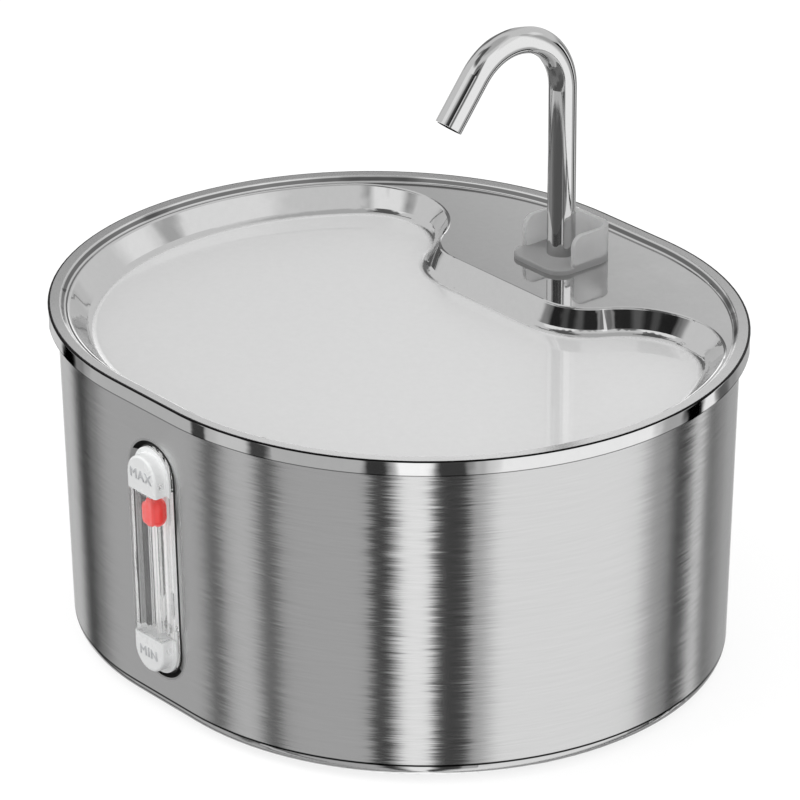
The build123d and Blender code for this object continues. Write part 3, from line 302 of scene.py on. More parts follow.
# ---------------------------------------------------------------- shared effects
@shared_group(
    "brushing",
    {
        "Vector": ORIGIN,
        "Normal": UP,
        "Tangent": (1.0, 0.0, 0.0),
        "Density": (60.0, 60.0, 2200.0),
        "Tilt": 0.03,
    },
)
def brushing_group(group, given):
    """Fine level scratches: long along the sheet, thin up it, with a slight sideways tilt."""
    stretched = work_vectors(group, "MULTIPLY", given["Vector"], given["Density"])
    fine = noise(group, stretched, 1.0, Detail=4.0, Roughness=0.6)
    coarse = noise(group, stretched, 0.35, Detail=3.0, Roughness=0.55)
    # The two noises, the coarse one weaker, are centred on 0 and scaled by the tilt.
    both = calculate(group, "ADD", fine, calculate(group, "MULTIPLY", coarse, 0.6))
    centred = calculate(group, "SUBTRACT", both, 0.8)
    amount = calculate(group, "MULTIPLY", centred, given["Tilt"])
    sideways = work_vectors(group, "SCALE", given["Tangent"], Scale=amount)
    tilted = work_vectors(group, "ADD", given["Normal"], sideways)
    unit = work_vectors(group, "NORMALIZE", tilted)
    return {"Streaks": fine, "Wide": coarse, "Normal": unit}


@shared_group("level_band", {"Vector": ORIGIN, "Low": 0.0, "High": 1.0, "Soft": 0.0002})
def level_band_group(group, given):
    """Mask that is 1 between two heights, with soft edges."""
    height = split_vector(group, given["Vector"])["Z"]
    above = calculate(group, "SUBTRACT", height, given["Low"])
    below = calculate(group, "SUBTRACT", given["High"], height)
    rise = calculate(group, "DIVIDE", above, given["Soft"], clamp=True)
    fall = calculate(group, "DIVIDE", below, given["Soft"], clamp=True)
    return {"Mask": calculate(group, "MULTIPLY", rise, fall)}


@shared_group("oval_outline", {"Vector": ORIGIN, "Half Spine": 0.0})
def oval_outline_group(group, given):
    """Way out from the oval's spine, level in every direction, and how far out a point is."""
    spot = split_vector(group, given["Vector"])
    backwards = calculate(group, "MULTIPLY", given["Half Spine"], -1.0)
    on_spine = calculate(group, "MINIMUM", spot["X"], given["Half Spine"])
    on_spine = calculate(group, "MAXIMUM", on_spine, backwards)
    along = calculate(group, "SUBTRACT", spot["X"], on_spine)
    offset = add_node(group, "ShaderNodeCombineXYZ", {"X": along, "Y": spot["Y"]}).outputs[0]
    return {
        "Outward": work_vectors(group, "NORMALIZE", offset),
        "Distance": work_vectors(group, "LENGTH", offset),
    }


@shared_group("rolled_wall", {"Outward": (1.0, 0.0, 0.0), "Normal": UP})
def rolled_wall_group(group, given):
    """True facing of the tapered wall, so that its panels shade as one rolled sheet."""
    level = work_vectors(group, "SCALE", given["Outward"], Scale=cos(WALL_TAPER))
    leaning = work_vectors(group, "ADD", level, (0.0, 0.0, -sin(WALL_TAPER)))
    placed = add_node(
        group,
        "ShaderNodeVectorTransform",
        {0: leaning},
        vector_type="NORMAL",
        convert_from="OBJECT",
        convert_to="WORLD",
    ).outputs[0]
    agreement = work_vectors(group, "DOT_PRODUCT", placed, given["Normal"])
    turned = work_vectors(group, "SCALE", placed, Scale=calculate(group, "SIGN", agreement))
    on_wall = calculate(group, "ABSOLUTE", agreement)
    on_wall = calculate(group, "GREATER_THAN", on_wall, cos(WALL_FACING_LIMIT))
    inputs = {0: on_wall, 4: given["Normal"], 5: turned}
    chosen = add_node(group, "ShaderNodeMix", inputs, data_type="VECTOR")
    return {"Normal": chosen.outputs[1]}


@shared_group("recess_ends", {"Vector": ORIGIN})
def recess_ends_group(group, given):
    """Masks for the two ends of the window's recess, past the caps, where shade is painted, and
    for all of it.
    """
    spot = split_vector(group, given["Vector"])
    front = calculate(group, "LESS_THAN", spot["Y"], WINDOW_CENTRE.y + RECESS_DEPTH)
    up = calculate(group, "ABSOLUTE", calculate(group, "SUBTRACT", spot["Z"], WINDOW_CENTRE.z))
    straight = calculate(group, "LESS_THAN", up, RECESS_ARC_OFFSET)
    across = calculate(group, "ABSOLUTE", spot["X"])
    narrow = calculate(group, "LESS_THAN", across, RECESS_ARC_RADIUS + RECESS_MARGIN)
    recess = calculate(group, "MULTIPLY", front, calculate(group, "MULTIPLY", straight, narrow))
    mask = 0.0
    for side in (-1.0, 1.0):
        arc_centre = (0.0, WINDOW_CENTRE.y, WINDOW_CENTRE.z + side * RECESS_ARC_OFFSET)
        offset = work_vectors(group, "SUBTRACT", given["Vector"], arc_centre)
        reach = work_vectors(group, "LENGTH", offset)
        inside = calculate(group, "LESS_THAN", reach, RECESS_ARC_RADIUS)
        past = calculate(group, "MULTIPLY", split_vector(group, offset)["Z"], side)
        past = calculate(group, "GREATER_THAN", past, RECESS_END_START)
        mask = calculate(group, "MAXIMUM", calculate(group, "MULTIPLY", inside, past), mask)
        rounded = calculate(group, "LESS_THAN", reach, RECESS_ARC_RADIUS + RECESS_MARGIN)
        recess = calculate(group, "MAXIMUM", recess, rounded)
    return {"Mask": mask, "Recess": recess}


@shared_group("smudges", {"Vector": ORIGIN, "Size": 40.0})
def smudges_group(group, given):
    """Faint handling marks: broad clouds with fine specks, for roughness and colour."""
    place, size = given["Vector"], given["Size"]
    fine_size = calculate(group, "MULTIPLY", size, 25.0)
    return {
        "Clouds": noise(group, place, size, Detail=5.0, Roughness=0.6, Distortion=0.4),
        "Specks": noise(group, place, fine_size, Detail=2.0, Roughness=0.5),
    }


@shared_group("moulded_grain", {"Vector": ORIGIN, "Size": 1800.0, "Depth": 0.2})
def moulded_grain_group(group, given):
    """Spark-eroded mould texture: fine pits with a slow waviness under them."""
    pits = cells(group, given, "SMOOTH_F1")["Distance"]
    wave_size = calculate(group, "MULTIPLY", given["Size"], 0.2)
    waves = noise(group, given["Vector"], wave_size, Detail=3.0)
    height = calculate(group, "ADD", pits, waves)
    return {"Normal": relief(group, height, given["Depth"], distance=0.0002)}


@shared_group("granules", {"Vector": ORIGIN, "Size": 600.0, "Depth": 0.8})
def granules_group(group, given):
    """Packed grains or cells: a tone for each, and the gaps between them, as relief and as a
    mask for painted shade.
    """
    shades = split_vector(group, cells(group, given, "F1")["Color"])
    edges = cells(group, given, "DISTANCE_TO_EDGE")["Distance"]
    gaps = calculate(group, "MULTIPLY", edges, 4.0, clamp=True)
    normal = relief(group, gaps, given["Depth"], distance=0.0006)
    return {"Grain": shades["X"], "Gaps": gaps, "Normal": normal}


def level_band(tree, place, band):
    """Mask that is 1 within a band of height on the piece."""
    low, high, soft = band
    group = level_band_group()
    return place_group(tree, group, Vector=place, Low=low, High=high, Soft=soft)["Mask"]


# ---------------------------------------------------------------- steel finishes
def brushed_wall_steel():
    """Tank sheet: level brushing on the wall, a buffed radius on the base pan."""
    colours = bpy.context.scene.fountain_colours
    sizes = bpy.context.scene.fountain_sizes
    material, tree, shader = new_material(
        "brushed_wall_steel", Metallic=1.0, Anisotropic=0.95, Anisotropic_Rotation=0.25
    )
    place = object_place(tree)
    around = level_tangent(tree)
    outline = place_group(tree, oval_outline_group(), Vector=place, Half_Spine=HALF_SPINE)
    wall = place_group(
        tree, rolled_wall_group(), Outward=outline["Outward"], Normal=true_normal(tree)
    )
    brushing = place_group(
        tree,
        brushing_group(),
        Vector=place,
        Normal=wall["Normal"],
        Tangent=around,
        Density=(sizes.streaks_along, sizes.streaks_along, sizes.streaks_up),
        Tilt=0.075,
    )
    smudges = place_group(tree, smudges_group(), Vector=place, Size=14.0)
    foot = level_band(tree, place, FOOT_BAND)
    painted_wall_line = level_band(tree, place, PAINTED_WALL_LINE)
    ends = place_group(tree, recess_ends_group(), Vector=place)
    steel = shaded(colours.wall_steel)
    dull = shaded(colours.wall_steel, 0.86)
    shade = blend_colours(tree, brushing["Streaks"], dull, steel)
    # Painted reflection: a dark line is painted round the wall where the rolled foot begins.
    shade = blend_colours(tree, painted_wall_line, shade, grey(0.015))
    # Painted shade: the ends of the window's recess, past the caps, are painted near black.
    shade = blend_colours(tree, ends["Mask"], shade, grey(0.01))
    rough = blend_values(tree, brushing["Wide"], 0.12, 0.22)
    worn = calculate(tree, "MULTIPLY", smudges["Clouds"], 0.05)
    rough = blend_values(tree, foot, calculate(tree, "ADD", rough, worn), 0.12)
    rough = blend_values(tree, ends["Recess"], rough, 0.42)
    feed(
        tree,
        shader,
        Base_Color=shade,
        Roughness=rough,
        Normal=brushing["Normal"],
        Tangent=around,
    )
    return material


def tray_steel():
    """Drinking tray: brushed flange, mirror shelf and basin wall, satin basin floor."""
    colours = bpy.context.scene.fountain_colours
    material, tree, shader = new_material("tray_steel", Coat_Roughness=0.04, Coat_IOR=1.9)
    place = object_place(tree)
    normal = true_normal(tree)
    outline = place_group(tree, oval_outline_group(), Vector=place, Half_Spine=HALF_SPINE)
    flange = level_band(tree, place, FLANGE)
    floor = level_band(tree, place, BASIN_FLOOR)
    # The flange dips a little towards its inner edge.
    dip = calculate(tree, "MULTIPLY", flange, -sin(FLANGE_DIP))
    dip = work_vectors(tree, "SCALE", outline["Outward"], Scale=dip)
    brushing = place_group(
        tree,
        brushing_group(),
        Vector=place,
        Normal=work_vectors(tree, "ADD", normal, dip),
        Tangent=level_tangent(tree),
        Density=(90.0, 90.0, 900.0),
        Tilt=0.012,
    )
    smudges = place_group(tree, smudges_group(), Vector=place, Size=18.0)
    polished = blend_values(tree, smudges["Clouds"], 0.03, 0.08)
    level = blend_values(tree, flange, polished, 0.2)
    satin = blend_values(tree, smudges["Clouds"], 0.42, 0.5)
    steel = shaded(colours.tray_steel)
    clean = shaded(colours.tray_steel, 1.06)
    shade = blend_colours(tree, smudges["Specks"], steel, clean)
    # Painted dark lines: a painted reflection down the step and round the flange's outer edge,
    # and painted shade along the foot of the skirt.
    inside = calculate(tree, "LESS_THAN", outline["Distance"], STEP_REACH)
    outside = calculate(tree, "GREATER_THAN", outline["Distance"], RIM_LINE_REACH)
    for reach, band, brightness in (
        (inside, STEP, 0.2),
        (outside, RIM_EDGE, 0.004),
        (outside, SKIRT_FOOT, 0.25),
    ):
        line = calculate(tree, "MULTIPLY", reach, level_band(tree, place, band))
        shade = blend_colours(tree, line, shade, grey(brightness))
    # Painted reflection: where the polished parts mirror it, the satin floor is painted a dim,
    # even grey.
    painted_reflection_mask = calculate(tree, "MULTIPLY", seen_in_mirror(tree), floor)
    shade = blend_colours(tree, painted_reflection_mask, shade, grey(0.1))
    # The pressed wall of the basin is slightly wavy; the level parts are flat.
    upright = calculate(tree, "ABSOLUTE", split_vector(tree, normal)["Z"])
    sloping = calculate(tree, "LESS_THAN", upright, LEVEL_LIMIT)
    waves = noise(tree, place, scale=55.0, Detail=2.0)
    depth = calculate(tree, "MULTIPLY", sloping, 0.13)
    feed(
        tree,
        shader,
        Base_Color=shade,
        Roughness=blend_values(tree, floor, level, satin),
        Metallic=blend_values(tree, floor, 1.0, 0.3),
        Coat_Weight=floor,
        Normal=relief(tree, waves, depth, distance=0.002, Normal=brushing["Normal"]),
    )
    return material


def chrome_tube():
    """Mirror-polished tube with faint smudges."""
    colours = bpy.context.scene.fountain_colours
    material, tree, shader = new_material("chrome_tube", Metallic=1.0)
    smudges = place_group(tree, smudges_group(), Vector=object_place(tree), Size=60.0)
    bright = shaded(colours.tube_chrome)
    dimmed = shaded(colours.tube_chrome, 0.93)
    feed(
        tree,
        shader,
        Base_Color=blend_colours(tree, smudges["Specks"], dimmed, bright),
        Roughness=blend_values(tree, smudges["Clouds"], 0.02, 0.09),
    )
    return material


def patterned_metal(tree, shader, pattern, colours, roughness, strength, distance):
    """Lets one fine pattern set a metal's colour, gloss and relief."""
    feed(
        tree,
        shader,
        Base_Color=blend_colours(tree, pattern, *colours),
        Roughness=blend_values(tree, pattern, *roughness),
        Normal=relief(tree, pattern, strength, distance),
    )


def bright_steel(name="bright_steel"):
    """Turned or cold-headed steel with fine tool marks."""
    material, tree, shader = new_material(name, Metallic=1.0)
    marks = noise(tree, object_place(tree), scale=900.0, Detail=3.0)
    steel = (grey(0.6), grey(0.78))
    gloss = (0.15, 0.35)
    patterned_metal(tree, shader, marks, steel, gloss, strength=0.08, distance=0.0001)
    return material


def laminated_core():
    """Stator stack: thin steel sheets across the motor's axis."""
    material, tree, shader = new_material("laminated_core", Metallic=1.0)
    sheets = stripes(tree, object_place(tree), scale=320.0, distortion=0.4)
    steel = (grey(0.1), grey(0.34))
    gloss = (0.6, 0.38)
    patterned_metal(tree, shader, sheets, steel, gloss, strength=0.4, distance=0.0001)
    return material


def copper_winding():
    """Enamelled wire laid side by side round the coil."""
    material, tree, shader = new_material("copper_winding", Metallic=1.0)
    turns = stripes(tree, object_place(tree), scale=450.0, distortion=0.6)
    # Painted shade: the valleys between the turns are painted dark brown.
    copper = ((0.2, 0.06, 0.02, 1.0), (0.78, 0.36, 0.16, 1.0))
    gloss = (0.5, 0.22)
    patterned_metal(tree, shader, turns, copper, gloss, strength=0.6, distance=0.0002)
    return material


# ---------------------------------------------------------------- other finishes
def moulded_skin(tree, shader, colours, roughness, smudge_size, grain_size, depth):
    """Colour and gloss from handling marks, over a moulded grain; returns the colour."""
    place = object_place(tree)
    clouds = place_group(tree, smudges_group(), Vector=place, Size=smudge_size)["Clouds"]
    grain = place_group(
        tree, moulded_grain_group(), Vector=place, Size=grain_size, Depth=depth
    )
    shade = blend_colours(tree, clouds, *colours)
    rough = blend_values(tree, clouds, *roughness)
    feed(tree, shader, Base_Color=shade, Roughness=rough, Normal=grain["Normal"])
    return shade


def frosted_silicone(name, tint, cloud, clearness):
    """Soft silicone that lets light through and blurs it."""
    material, tree, shader = new_material(
        name, Transmission_Weight=clearness, IOR=1.41, Specular_IOR_Level=0.45
    )
    shade = moulded_skin(
        tree,
        shader,
        colours=(tint, cloud),
        roughness=(0.35, 0.55),
        smudge_size=90.0,
        grain_size=2500.0,
        depth=0.08,
    )
    # Painted reflection: where polished steel mirrors it, it is painted a darker grey.
    feed(tree, shader, Base_Color=blend_colours(tree, seen_in_mirror(tree), shade, grey(0.6)))
    return material


def milky_plastic(name="milky_plastic", colour=(0.92, 0.93, 0.93, 1.0), glow=0.0):
    """White translucent plastic with a satin skin, and a painted glow that stands in for light
    coming through it.
    """
    material, tree, shader = new_material(
        name,
        Subsurface_Weight=0.3,
        Subsurface_Radius=(0.002, 0.002, 0.002),
        Specular_IOR_Level=0.5,
        Emission_Color=grey(1.0),
        Emission_Strength=glow,
    )
    moulded_skin(
        tree,
        shader,
        colours=(shaded(colour, 0.9), colour),
        roughness=(0.2, 0.34),
        smudge_size=120.0,
        grain_size=2200.0,
        depth=0.06,
    )
    return material


def moulded_plastic(name, colour, roughness=0.45, grain_size=1600.0):
    """Injection-moulded plastic with a fine grain, a little lighter where it is rubbed."""
    material, tree, shader = new_material(name)
    rubbed = tuple(min(1.0, 1.25 * part + 0.01) for part in colour[:3]) + (1.0,)
    moulded_skin(
        tree,
        shader,
        colours=(colour, rubbed),
        roughness=(roughness - 0.08, roughness + 0.12),
        smudge_size=35.0,
        grain_size=grain_size,
        depth=0.25,
    )
    return material


def rubber(name, colour):
    """Matt rubber with a dusty bloom."""
    material, tree, shader = new_material(name, Specular_IOR_Level=0.3)
    dusty = tuple(part + 0.03 for part in colour[:3]) + (1.0,)
    moulded_skin(
        tree,
        shader,
        colours=(colour, dusty),
        roughness=(0.6, 0.85),
        smudge_size=50.0,
        grain_size=1200.0,
        depth=0.2,
    )
    return material


def clear_lens():
    """Clear moulded window: slight haze and flow marks from the mould."""
    material, tree, shader = new_material(
        "clear_lens",
        Transmission_Weight=0.97,
        IOR=1.12,
        Coat_Weight=0.85,
        Coat_IOR=1.5,
        Coat_Roughness=0.03,
    )
    place = object_place(tree)
    clouds = place_group(tree, smudges_group(), Vector=place, Size=70.0)["Clouds"]
    flutes = stripes(tree, place, scale=110.0, distortion=0.3)
    feed(
        tree,
        shader,
        Base_Color=blend_colours(tree, clouds, grey(0.94), grey(0.99)),
        Roughness=blend_values(tree, clouds, 0.01, 0.05),
        Normal=relief(tree, flutes, strength=0.35, distance=0.0003),
    )
    return material


def ribbed_plate():
    """White back plate with fine moulded ribs up it, painted grey in the grooves as shade, and
    with a painted glow that stands in for the light behind.
    """
    material, tree, shader = new_material(
        "ribbed_plate", Emission_Color=grey(1.0), Emission_Strength=0.3, Specular_IOR_Level=0.6
    )
    place = object_place(tree)
    ribs = stripes(tree, place, scale=131.0, distortion=0.2)
    clouds = place_group(tree, smudges_group(), Vector=place, Size=90.0)["Clouds"]
    clean = blend_colours(tree, clouds, grey(0.84), grey(0.93))
    feed(
        tree,
        shader,
        # Painted shade: the grooves between the ribs are painted grey.
        Base_Color=blend_colours(tree, ribs, grey(0.45), clean),
        Roughness=blend_values(tree, clouds, 0.2, 0.35),
        Normal=relief(tree, ribs, strength=0.6, distance=0.0004),
    )
    return material


def glossy_red():
    """Polished red float."""
    colours = bpy.context.scene.fountain_colours
    material, tree, shader = new_material(
        "glossy_red", Specular_IOR_Level=0.4, Emission_Strength=0.35
    )
    smudges = place_group(tree, smudges_group(), Vector=object_place(tree), Size=150.0)
    red = shaded(colours.float_red)
    deep = shaded(colours.float_red, 0.7)
    shade = blend_colours(tree, smudges["Clouds"], deep, red)
    # Painted light: it glows, standing in for the light behind it, and where the steel mirrors
    # it, it is painted a plain grey without the glow, as a painted reflection.
    painted_reflection_mask = seen_in_mirror(tree)
    feed(
        tree,
        shader,
        Base_Color=blend_colours(tree, painted_reflection_mask, shade, grey(0.3)),
        Emission_Color=blend_colours(tree, painted_reflection_mask, (1.0, 0.03, 0.015, 1.0), grey(0.0)),
        Roughness=blend_values(tree, smudges["Specks"], 0.12, 0.2),
    )
    return material


def granular(name, dark, light, size, depth, roughness):
    """Foam cells, fleece tufts or carbon grains, by their size and colours."""
    material, tree, shader = new_material(name, Specular_IOR_Level=0.3)
    place = object_place(tree)
    granules = place_group(tree, granules_group(), Vector=place, Size=size, Depth=depth)
    mottled = blend_colours(tree, granules["Grain"], dark, light)
    feed(
        tree,
        shader,
        # Painted shade: the gaps between the grains are painted dark.
        Base_Color=blend_colours(tree, granules["Gaps"], dark, mottled),
        Roughness=blend_values(tree, granules["Grain"], roughness - 0.1, roughness),
        Normal=granules["Normal"],
    )
    return material


# ---------------------------------------------------------------- pieces
def dress(material, *names):
    """Gives the finish to these CAD nodes, in every slot that they have."""
    for name in names:
        for slot in NODES[name].material_slots:
            slot.material = material


def add_object(name, data):
    """New object in the scene with this mesh, curve, lamp or camera."""
    item = bpy.data.objects.new(name, data)
    bpy.context.scene.collection.objects.link(item)
    return item


def level_word(name, word, centre_up, letter_height, relief_height, material):
    """Raised word on a window cap, standing a little proud of its face."""
    outline = bpy.data.curves.new(name + "_outline", "FONT")
    outline.body = word
    outline.size = letter_height / 0.7  # a capital fills 0.7 of the font's size
    outline.space_character = 1.12
    outline.align_x = "CENTER"
    outline.align_y = "CENTER"
    outline.extrude = relief_height
    outline.bevel_depth = 0.25 * relief_height
    outline.resolution_u = 4
    holder = add_object(name + "_outline", outline)
    bpy.context.view_layer.update()
    graph = bpy.context.evaluated_depsgraph_get()
    mesh = bpy.data.meshes.new_from_object(holder.evaluated_get(graph))
    bpy.data.objects.remove(holder)
    bpy.data.curves.remove(outline)
    across = WINDOW_UPWARD.cross(WINDOW_OUTWARD)
    origin = WINDOW_CENTRE + WINDOW_UPWARD * centre_up + WINDOW_OUTWARD * CAP_PROUD
    turn = Matrix((across, WINDOW_UPWARD, WINDOW_OUTWARD)).transposed().to_4x4()
    mesh.transform(Matrix.Translation(origin) @ turn)
    mesh.name = name
    piece = add_object(name, mesh)
    work = bmesh.new()
    work.from_mesh(mesh)
    bmesh.ops.remove_doubles(work, verts=work.verts, dist=0.00001)
    bmesh.ops.recalc_face_normals(work, faces=work.faces)
    work.to_mesh(mesh)
    work.free()
    mesh.materials.clear()
    mesh.materials.append(material)
    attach(piece, "tank")


# ---------------------------------------------------------------- stage
def studio_floor(size):
    """Pale floor: it keeps the soft shadow, and camera rays see it white where unshaded."""
    mesh = bpy.data.meshes.new("studio_floor")
    work = bmesh.new()
    bmesh.ops.create_grid(work, x_segments=4, y_segments=4, size=size / 2)
    bmesh.ops.translate(work, verts=work.verts, vec=(0.0, 0.0, -FLOOR_GAP))
    work.to_mesh(mesh)
    work.free()
    piece = add_object("studio_floor", mesh)
    material = bpy.data.materials.new("studio_floor")
    material.use_nodes = True
    tree = material.node_tree
    tree.nodes.clear()
    rays = add_node(tree, "ShaderNodeLightPath").outputs
    seen = calculate(tree, "MAXIMUM", rays["Is Glossy Ray"], rays["Is Transmission Ray"])
    seen = calculate(tree, "MAXIMUM", rays["Is Camera Ray"], seen)
    strength = calculate(tree, "MULTIPLY", seen, FLOOR_GLOW)
    paper = add_node(tree, "ShaderNodeBsdfDiffuse", {"Color": grey(FLOOR_PAPER)})
    glow = add_node(tree, "ShaderNodeEmission", {"Color": grey(1.0), "Strength": strength})
    both = add_node(tree, "ShaderNodeAddShader", {0: paper.outputs[0], 1: glow.outputs[0]})
    # From below the floor is clear, so the underside can be looked at.
    clear = add_node(tree, "ShaderNodeBsdfTransparent")
    side = add_node(tree, "ShaderNodeNewGeometry").outputs["Backfacing"]
    inputs = {0: side, 1: both.outputs[0], 2: clear.outputs[0]}
    chosen = add_node(tree, "ShaderNodeMixShader", inputs)
    add_node(tree, "ShaderNodeOutputMaterial", {"Surface": chosen.outputs[0]})
    mesh.materials.append(material)
    piece.visible_glossy = False


PANEL_INPUTS = (
    "Turn", "Height", "Middle", "Half Width", "Low", "High", "Edge", "Brightness", "Behind"
)


@shared_group("studio_panel", dict.fromkeys(PANEL_INPUTS, 0.0))
def studio_panel_group(group, given):
    """Softbox or flag with soft edges, laid over whatever stands behind it."""
    away = calculate(group, "SUBTRACT", given["Turn"], given["Middle"])
    away = add_node(group, "ShaderNodeMath", {0: away, 1: 180.0, 2: -180.0}, operation="WRAP")
    gaps = (
        (given["Half Width"], calculate(group, "ABSOLUTE", away.outputs[0])),
        (given["Height"], given["Low"]),
        (given["High"], given["Height"]),
    )
    mask = 1.0
    for outer, inner in gaps:
        gap = calculate(group, "SUBTRACT", outer, inner)
        soft = calculate(group, "DIVIDE", gap, given["Edge"])
        soft = calculate(group, "ADD", soft, 0.5, clamp=True)
        mask = calculate(group, "MULTIPLY", soft, mask)
    return {"Value": blend_values(group, mask, given["Behind"], given["Brightness"])}


def studio_world(level):
    """Plain pale surroundings, white to the camera; metal sees the softboxes and flags."""
    world = bpy.data.worlds.new("studio")
    bpy.context.scene.world = world
    world.use_nodes = True
    tree = world.node_tree
    tree.nodes.clear()
    direction = add_node(tree, "ShaderNodeTexCoord").outputs["Generated"]
    way = split_vector(tree, direction)
    forwards = calculate(tree, "MULTIPLY", way["Y"], -1.0)
    turn = calculate(tree, "DEGREES", calculate(tree, "ARCTAN2", way["X"], forwards))
    height = calculate(tree, "DEGREES", calculate(tree, "ARCSINE", way["Z"]))
    reflected = 0.0
    for middle, half_width, low, high, edge, brightness in STUDIO_PANELS:
        reflected = place_group(
            tree,
            studio_panel_group(),
            Turn=turn,
            Height=height,
            Middle=middle,
            Half_Width=half_width,
            Low=low,
            High=high,
            Edge=edge,
            Brightness=brightness,
            Behind=reflected,
        )["Value"]
    rays = add_node(tree, "ShaderNodeLightPath").outputs
    lit = blend_colours(tree, rays["Is Glossy Ray"], grey(level), reflected)
    seen = calculate(tree, "MAXIMUM", rays["Is Camera Ray"], rays["Is Transmission Ray"])
    shown = blend_colours(tree, seen, lit, grey(1.0))
    background = add_node(tree, "ShaderNodeBackground", {"Color": shown})
    add_node(tree, "ShaderNodeOutputWorld", {"Surface": background.outputs[0]})


def area_lamp(name, location, size, power):
    """Soft square lamp aimed at the tank, left out of reflections."""
    data = bpy.data.lights.new(name, "AREA")
    data.size = size
    data.energy = power
    lamp = add_object(name, data)
    lamp.location = location
    aim = LAMP_TARGET - Vector(location)
    lamp.rotation_euler = aim.to_track_quat("-Z", "Y").to_euler()
    lamp.visible_glossy = False


def studio_camera():
    """Long lens from the front right, above the rim."""
    data = bpy.data.cameras.new("camera")
    data.sensor_width = 36.0
    data.lens = 242.324
    data.clip_end = 100.0
    camera = add_object("camera", data)
    camera.location = (1.23299, -1.0241, 0.82993)
    camera.rotation_euler = Euler((radians(64.9953), radians(0.227), radians(50.1502)))
    bpy.context.scene.camera = camera


# ---------------------------------------------------------------- what a user may change
class FountainSizes(bpy.types.PropertyGroup):
    """Sizes of the marks and of the brushing."""

    letter_height: bpy.props.FloatProperty(
        name="Letter height",
        description="Height of the raised words on the window caps",
        default=0.0034,
        min=0.001,
        subtype="DISTANCE",
        unit="LENGTH",
    )
    letter_relief: bpy.props.FloatProperty(
        name="Letter relief",
        description="How far the words stand out of the caps",
        default=0.0002,
        min=0.0,
        subtype="DISTANCE",
        unit="LENGTH",
    )
    word_offset: bpy.props.FloatProperty(
        name="Word offset",
        description="Distance of each word from the window's middle",
        default=0.0318,
        subtype="DISTANCE",
        unit="LENGTH",
    )
    streaks_along: bpy.props.FloatProperty(
        name="Streaks along",
        description="Brushing marks per metre along the wall",
        default=60.0,
        min=1.0,
    )
    streaks_up: bpy.props.FloatProperty(
        name="Streaks up",
        description="Brushing marks per metre up the wall",
        default=3800.0,
        min=1.0,
    )
    floor_size: bpy.props.FloatProperty(
        name="Floor size",
        description="Side of the studio floor",
        default=8.0,
        min=1.0,
        subtype="DISTANCE",
        unit="LENGTH",
    )
    world_level: bpy.props.FloatProperty(
        name="Surroundings",
        description="Brightness of the plain surroundings",
        default=0.85,
        min=0.0,
        subtype="FACTOR",
    )


class FountainColours(bpy.types.PropertyGroup):
    """Colours of the main finishes."""

    wall_steel: bpy.props.FloatVectorProperty(
        name="Wall steel",
        description="Brushed sheet of the tank",
        default=(0.72, 0.72, 0.72),
        min=0.0,
        max=1.0,
        subtype="COLOR",
    )
    tray_steel: bpy.props.FloatVectorProperty(
        name="Tray steel",
        description="Polished sheet of the drinking tray",
        default=(0.78, 0.78, 0.78),
        min=0.0,
        max=1.0,
        subtype="COLOR",
    )
    tube_chrome: bpy.props.FloatVectorProperty(
        name="Tube",
        description="Mirror-polished spout tube",
        default=(0.82, 0.82, 0.82),
        min=0.0,
        max=1.0,
        subtype="COLOR",
    )
    float_red: bpy.props.FloatVectorProperty(
        name="Float",
        description="Red level float",
        default=(0.85, 0.012, 0.01),
        min=0.0,
        max=1.0,
        subtype="COLOR",
    )


# ---------------------------------------------------------------- operators
class FOUNTAIN_OT_tank(bpy.types.Operator):
    """Brushed steel on the tank wall and base pan, with the feet and the rim seal"""

    bl_idname = "fountain.tank"
    bl_label = "Tank"

    def execute(self, context):
        dress(brushed_wall_steel(), "tank", "tank_base")
        dress(rubber("foot_rubber", grey(0.05)), "tank_feet")
        dress(rubber("rim_rubber", grey(0.03)), "rim_seal")
        return {"FINISHED"}


class FOUNTAIN_OT_tray(bpy.types.Operator):
    """Polished and satin steel on the drinking tray"""

    bl_idname = "fountain.tray"
    bl_label = "Drinking tray"

    def execute(self, context):
        dress(tray_steel(), "drinking_tray")
        return {"FINISHED"}


class FOUNTAIN_OT_spout(bpy.types.Operator):
    """Mirror tube and its silicone seat"""

    bl_idname = "fountain.spout"
    bl_label = "Spout and seat"

    def execute(self, context):
        dress(chrome_tube(), "spout_tube")
        silicone = frosted_silicone("seat_silicone", grey(0.84), grey(0.93), clearness=0.7)
        dress(silicone, "spout_seat")
        return {"FINISHED"}


class FOUNTAIN_OT_window(bpy.types.Operator):
    """Clear window with its caps, float, back plate, gasket and fixings"""

    bl_idname = "fountain.window"
    bl_label = "Level window"

    def execute(self, context):
        dress(clear_lens(), "level_window")
        # The caps get a painted glow, standing in for light coming through them.
        dress(milky_plastic(glow=0.09), "level_cap_max", "level_cap_min")
        dress(ribbed_plate(), "window_back")
        dress(glossy_red(), "level_float")
        dress(rubber("gasket_rubber", grey(0.03)), "window_gasket")
        dress(bright_steel(), "window_studs", "window_nuts")
        return {"FINISHED"}


class FOUNTAIN_OT_level_words(bpy.types.Operator):
    """Raised words on the two window caps"""

    bl_idname = "fountain.level_words"
    bl_label = "Level words"

    def execute(self, context):
        sizes = context.scene.fountain_sizes
        colour = (0.55, 0.56, 0.57, 1.0)
        letters = moulded_plastic("letter_plastic", colour, roughness=0.4, grain_size=2400.0)
        for name, word, up in (
            ("level_word_max", "MAX", sizes.word_offset),
            ("level_word_min", "MIN", -sizes.word_offset),
        ):
            level_word(name, word, up, sizes.letter_height, sizes.letter_relief, letters)
        return {"FINISHED"}


class FOUNTAIN_OT_cord_outlet(bpy.types.Operator):
    """Gland, seal and nut where the cord leaves the tank"""

    bl_idname = "fountain.cord_outlet"
    bl_label = "Cord outlet"

    def execute(self, context):
        plastic = moulded_plastic(
            "gland_plastic", grey(0.035), roughness=0.4, grain_size=1500.0
        )
        dress(plastic, "cable_gland", "gland_nut")
        dress(rubber("gland_rubber", grey(0.025)), "gland_seal")
        return {"FINISHED"}


